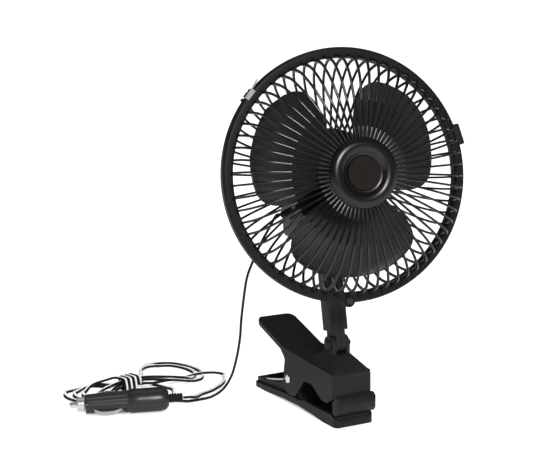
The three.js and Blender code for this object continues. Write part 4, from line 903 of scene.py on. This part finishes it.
def make_pivot_pin():
    """Plain pin; the heads at both ends have the lobes of a push-on washer."""
    left = [(r, -x) for r, x in PIN_HEAD]
    verts, faces = lathe_x(left + PIN_HEAD[::-1], 80)
    lobed = []
    for x, y, z in verts:
        head = (y * y + z * z) ** 0.5 > PIN_HEAD_INSIDE
        k = 1 + (PIN_LOBE * cos(PIN_LOBES * atan2(z, y)) if head else 0)
        lobed.append((x, PIN_Y + y * k, PIN_Z + z * k))
    make("pivot_pin", (lobed, faces), IN_WORLD, [PAINTED_REFLECTION_CHROME], ["clip_pivot_pin"], "base")


def spring_line():
    """Leg in the tray, curls round the pin, leg under the roof."""
    points = smooth_line([V(SPRING_START, 109.4, 7), V(SPRING_START, 86, 12.6),
                          V(SPRING_START, 68, 17.4), V(SPRING_START, 60, 20.4)], 3)
    for k in range(SPRING_CURLS * SPRING_STEPS + 1):
        a = radians(55) + 2 * pi * k / SPRING_STEPS
        points.append(V(SPRING_START + SPRING_PITCH * k / SPRING_STEPS,
                        PIN_Y + SPRING_R * cos(a), PIN_Z + SPRING_R * sin(a)))
    last = SPRING_START + SPRING_PITCH * SPRING_CURLS
    return points + smooth_line([V(last + 0.6, 57.2, 33), V(last + 0.8, 62, 40),
                                 V(last + 0.8, 65.6, 45.4)], 3)


def make_jaw_spring():
    """Wire swept along the spring's line, with its place baked into its points."""
    spring = make("jaw_spring", sweep(spring_line(), V(1, 0, 0), circle(SPRING_WIRE, 12)), IN_WORLD,
                  [PAINTED_REFLECTION_CHROME], ["clip_spring"], crease=60)
    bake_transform(spring)


def make_gland_boot():
    make("gland_boot", moved(lathe_x(GLAND_LINE, 40), 0, *GLAND_AT), ON_HEAD, [RUBBER],
         ["cord_gland"], "head")


def make_knob_cap():
    verts, faces = lathe_y(KNOB_LINE, 48)
    upright = [(x, z + KNOB_Y, y) for x, y, z in verts]
    make("knob_cap", (upright, [tuple(reversed(f)) for f in faces]), ON_HEAD, [GLOSS],
         ["oscillation_knob"], "knob")


# ---------------------------------------------------------------- plug
# Outlines are (distance along the plug, radius) for the shells, (radius, distance) for the rest.
SHELL_SIDES = 72
GRIP_LINE = [(12.2, 5.6), (12.4, 6.4), (13, 7.4), (14.6, 9.2), (17, 10), (20, PLUG_R), (30, PLUG_R),
             (38, PLUG_R), (45.4, PLUG_R), (46.2, 10.2), (46.8, 9.9)]
NOSE_LINE = [(47.6 + 1.5 * k, 9.85 - 1.35 * k / 24) for k in range(25)]
NOSE_END = [(84.4, 8.2), (85, 7.6), (85, 5)]
SHELL_INSIDE = [(83, 5), (83, 6.4), (51, 7.4), (45, 8.4), (20, 8.4), (14.4, 5.6)]
FLUTES = 12
FLUTE_DEPTH = 0.55
FLUTED = (47, 84)
WINDOW = (50.5, 80)  # where the side contacts spring out
WINDOW_HALF = 2.6
WINDOW_STEP = 60
WINDOW_FLOORS = (8.0, 7.6)  # radius before and after the step
COLLAR_LINE = [(2.9, 79.4), (4.5, 79.4), (4.5, 85.3), (5.9, 85.3), (6.3, 85.8), (6.3, 88.2),
               (5.9, 88.6), (5.9, 89.2), (6.2, 89.6), (6.2, 91.2), (5.8, 92), (5.2, 92.4),
               (2.9, 92.4), (2.9, 79.4)]
TIP_LINE = [(0, 76.4), (4.2, 76.4), (4.2, 79), (2.6, 79), (2.6, 97), (2.3, 98), (1.6, 98.6),
            (0.8, 98.8), (0, 98.8)]
COIL_START = 70.5
COIL_LENGTH = 5.1
COIL_R = 3.44
COIL_WIRE = 0.4  # radius
COIL_STEPS = 64
COIL_CURLS = 4
BOOT_RIBS = 5
BOOT_PITCH = 2.25


def shell_radius(s, r, a):
    """Radius of the shell's outside, after the flutes and the floor of a contact's window."""
    if not FLUTED[0] < s < FLUTED[1]:
        return r
    turn = radians(CONTACT_TURN)
    off = min(abs((a - turn + pi) % (2 * pi) - pi), abs((a - turn) % (2 * pi) - pi))
    fluted = r - FLUTE_DEPTH * (0.5 - 0.5 * cos(FLUTES * a)) ** 2
    if WINDOW[0] < s < WINDOW[1] and off * fluted < WINDOW_HALF:
        return WINDOW_FLOORS[0] if s < WINDOW_STEP else WINDOW_FLOORS[1]
    return fluted


def plug_half(side):
    """Half shell: smooth grip at the back, long flutes and a window for the contact in front."""
    outer = GRIP_LINE + NOSE_LINE + NOSE_END
    count = len(outer) + len(SHELL_INSIDE)
    n = SHELL_SIDES
    turns = [0.9] + [180 * k / n for k in range(1, n)] + [179.1]  # a fine gap along the seam
    verts, faces = [], []
    for a in [radians(side * turn) for turn in turns]:
        for s, r in outer:
            around = shell_radius(s, r, a)
            verts.append((s, around * cos(a), around * sin(a)))
        verts += [(s, r * cos(a), r * sin(a)) for s, r in SHELL_INSIDE]
    for k in range(n):
        for i in range(count):
            a, b = k * count + i, k * count + (i + 1) % count
            faces.append((a, b, b + count, a + count))
    faces.append(tuple(range(count)))
    faces.append(tuple(reversed(range(n * count, (n + 1) * count))))
    return verts, faces


def make_plug_shells():
    for name, side in (("upper", 1), ("lower", -1)):
        make("plug_half_" + name, plug_half(side), ON_PLUG, [HANDLE],
             ["plug_shell_" + name], "base", crease=30)


def make_plug_nose():
    make("plug_collar", lathe_x(COLLAR_LINE, 64), ON_PLUG, [PLATE],
         ["plug_nose_ring"], "base")
    make("plug_contact_tip", lathe_x(TIP_LINE, 40), ON_PLUG, [PLATE], ["plug_tip"],
         "contact_tip")


def make_tip_coil():
    """Spring behind the tip, drawn as one fixed coil; the real one shortens as the tip goes in."""
    points = []
    for k in range(COIL_STEPS + 1):
        a = 2 * pi * COIL_CURLS * k / COIL_STEPS
        points.append(V(COIL_START + COIL_LENGTH * k / COIL_STEPS, COIL_R * cos(a), COIL_R * sin(a)))
    coil = make("plug_tip_coil", sweep(points, V(1, 0, 0), circle(COIL_WIRE, 8)), ON_PLUG, [STEEL],
                ["plug_tip_spring"], crease=60)
    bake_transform(coil)


def make_plug_boot():
    """Ribbed strain relief."""
    line = [(0, 0), (2.8, 0), (3.4, 0.3)]
    for k in range(BOOT_RIBS):
        x = 0.9 + BOOT_PITCH * k
        line += [(3.9, x), (4.2, x + 0.3), (4.2, x + 1.2), (3.9, x + 1.5), (3.3, x + 1.7),
                 (3.3, x + 2.05)]
    line += [(2.8, 12), (2.8, 15.2), (4.6, 15.3), (4.6, 17.2), (0, 17.2)]
    make("plug_boot", lathe_x(line, 48), ON_PLUG, [RUBBER],
         ["plug_strain_relief"], "base")


# ---------------------------------------------------------------- the scene
def paint_cad_nodes():
    """Finish of the CAD solids that no piece replaces."""
    for name, node in NODES.items():
        if not node.hide_render:
            node.data.materials.clear()
            node.data.materials.append(LOOKS[SLOT_OF[name]])


make_camera()
make_room()
make_drop()
lead, lead_line = make_lead()
make_front_guard()
make_rear_guard()
make_latch()
make_label_disc()
make_impeller()
soften_solids()
make_tilt_bolt()
make_pivot_pin()
make_jaw_spring()
make_gland_boot()
make_knob_cap()
make_plug_shells()
make_plug_nose()
make_tip_coil()
make_plug_boot()
paint_cad_nodes()
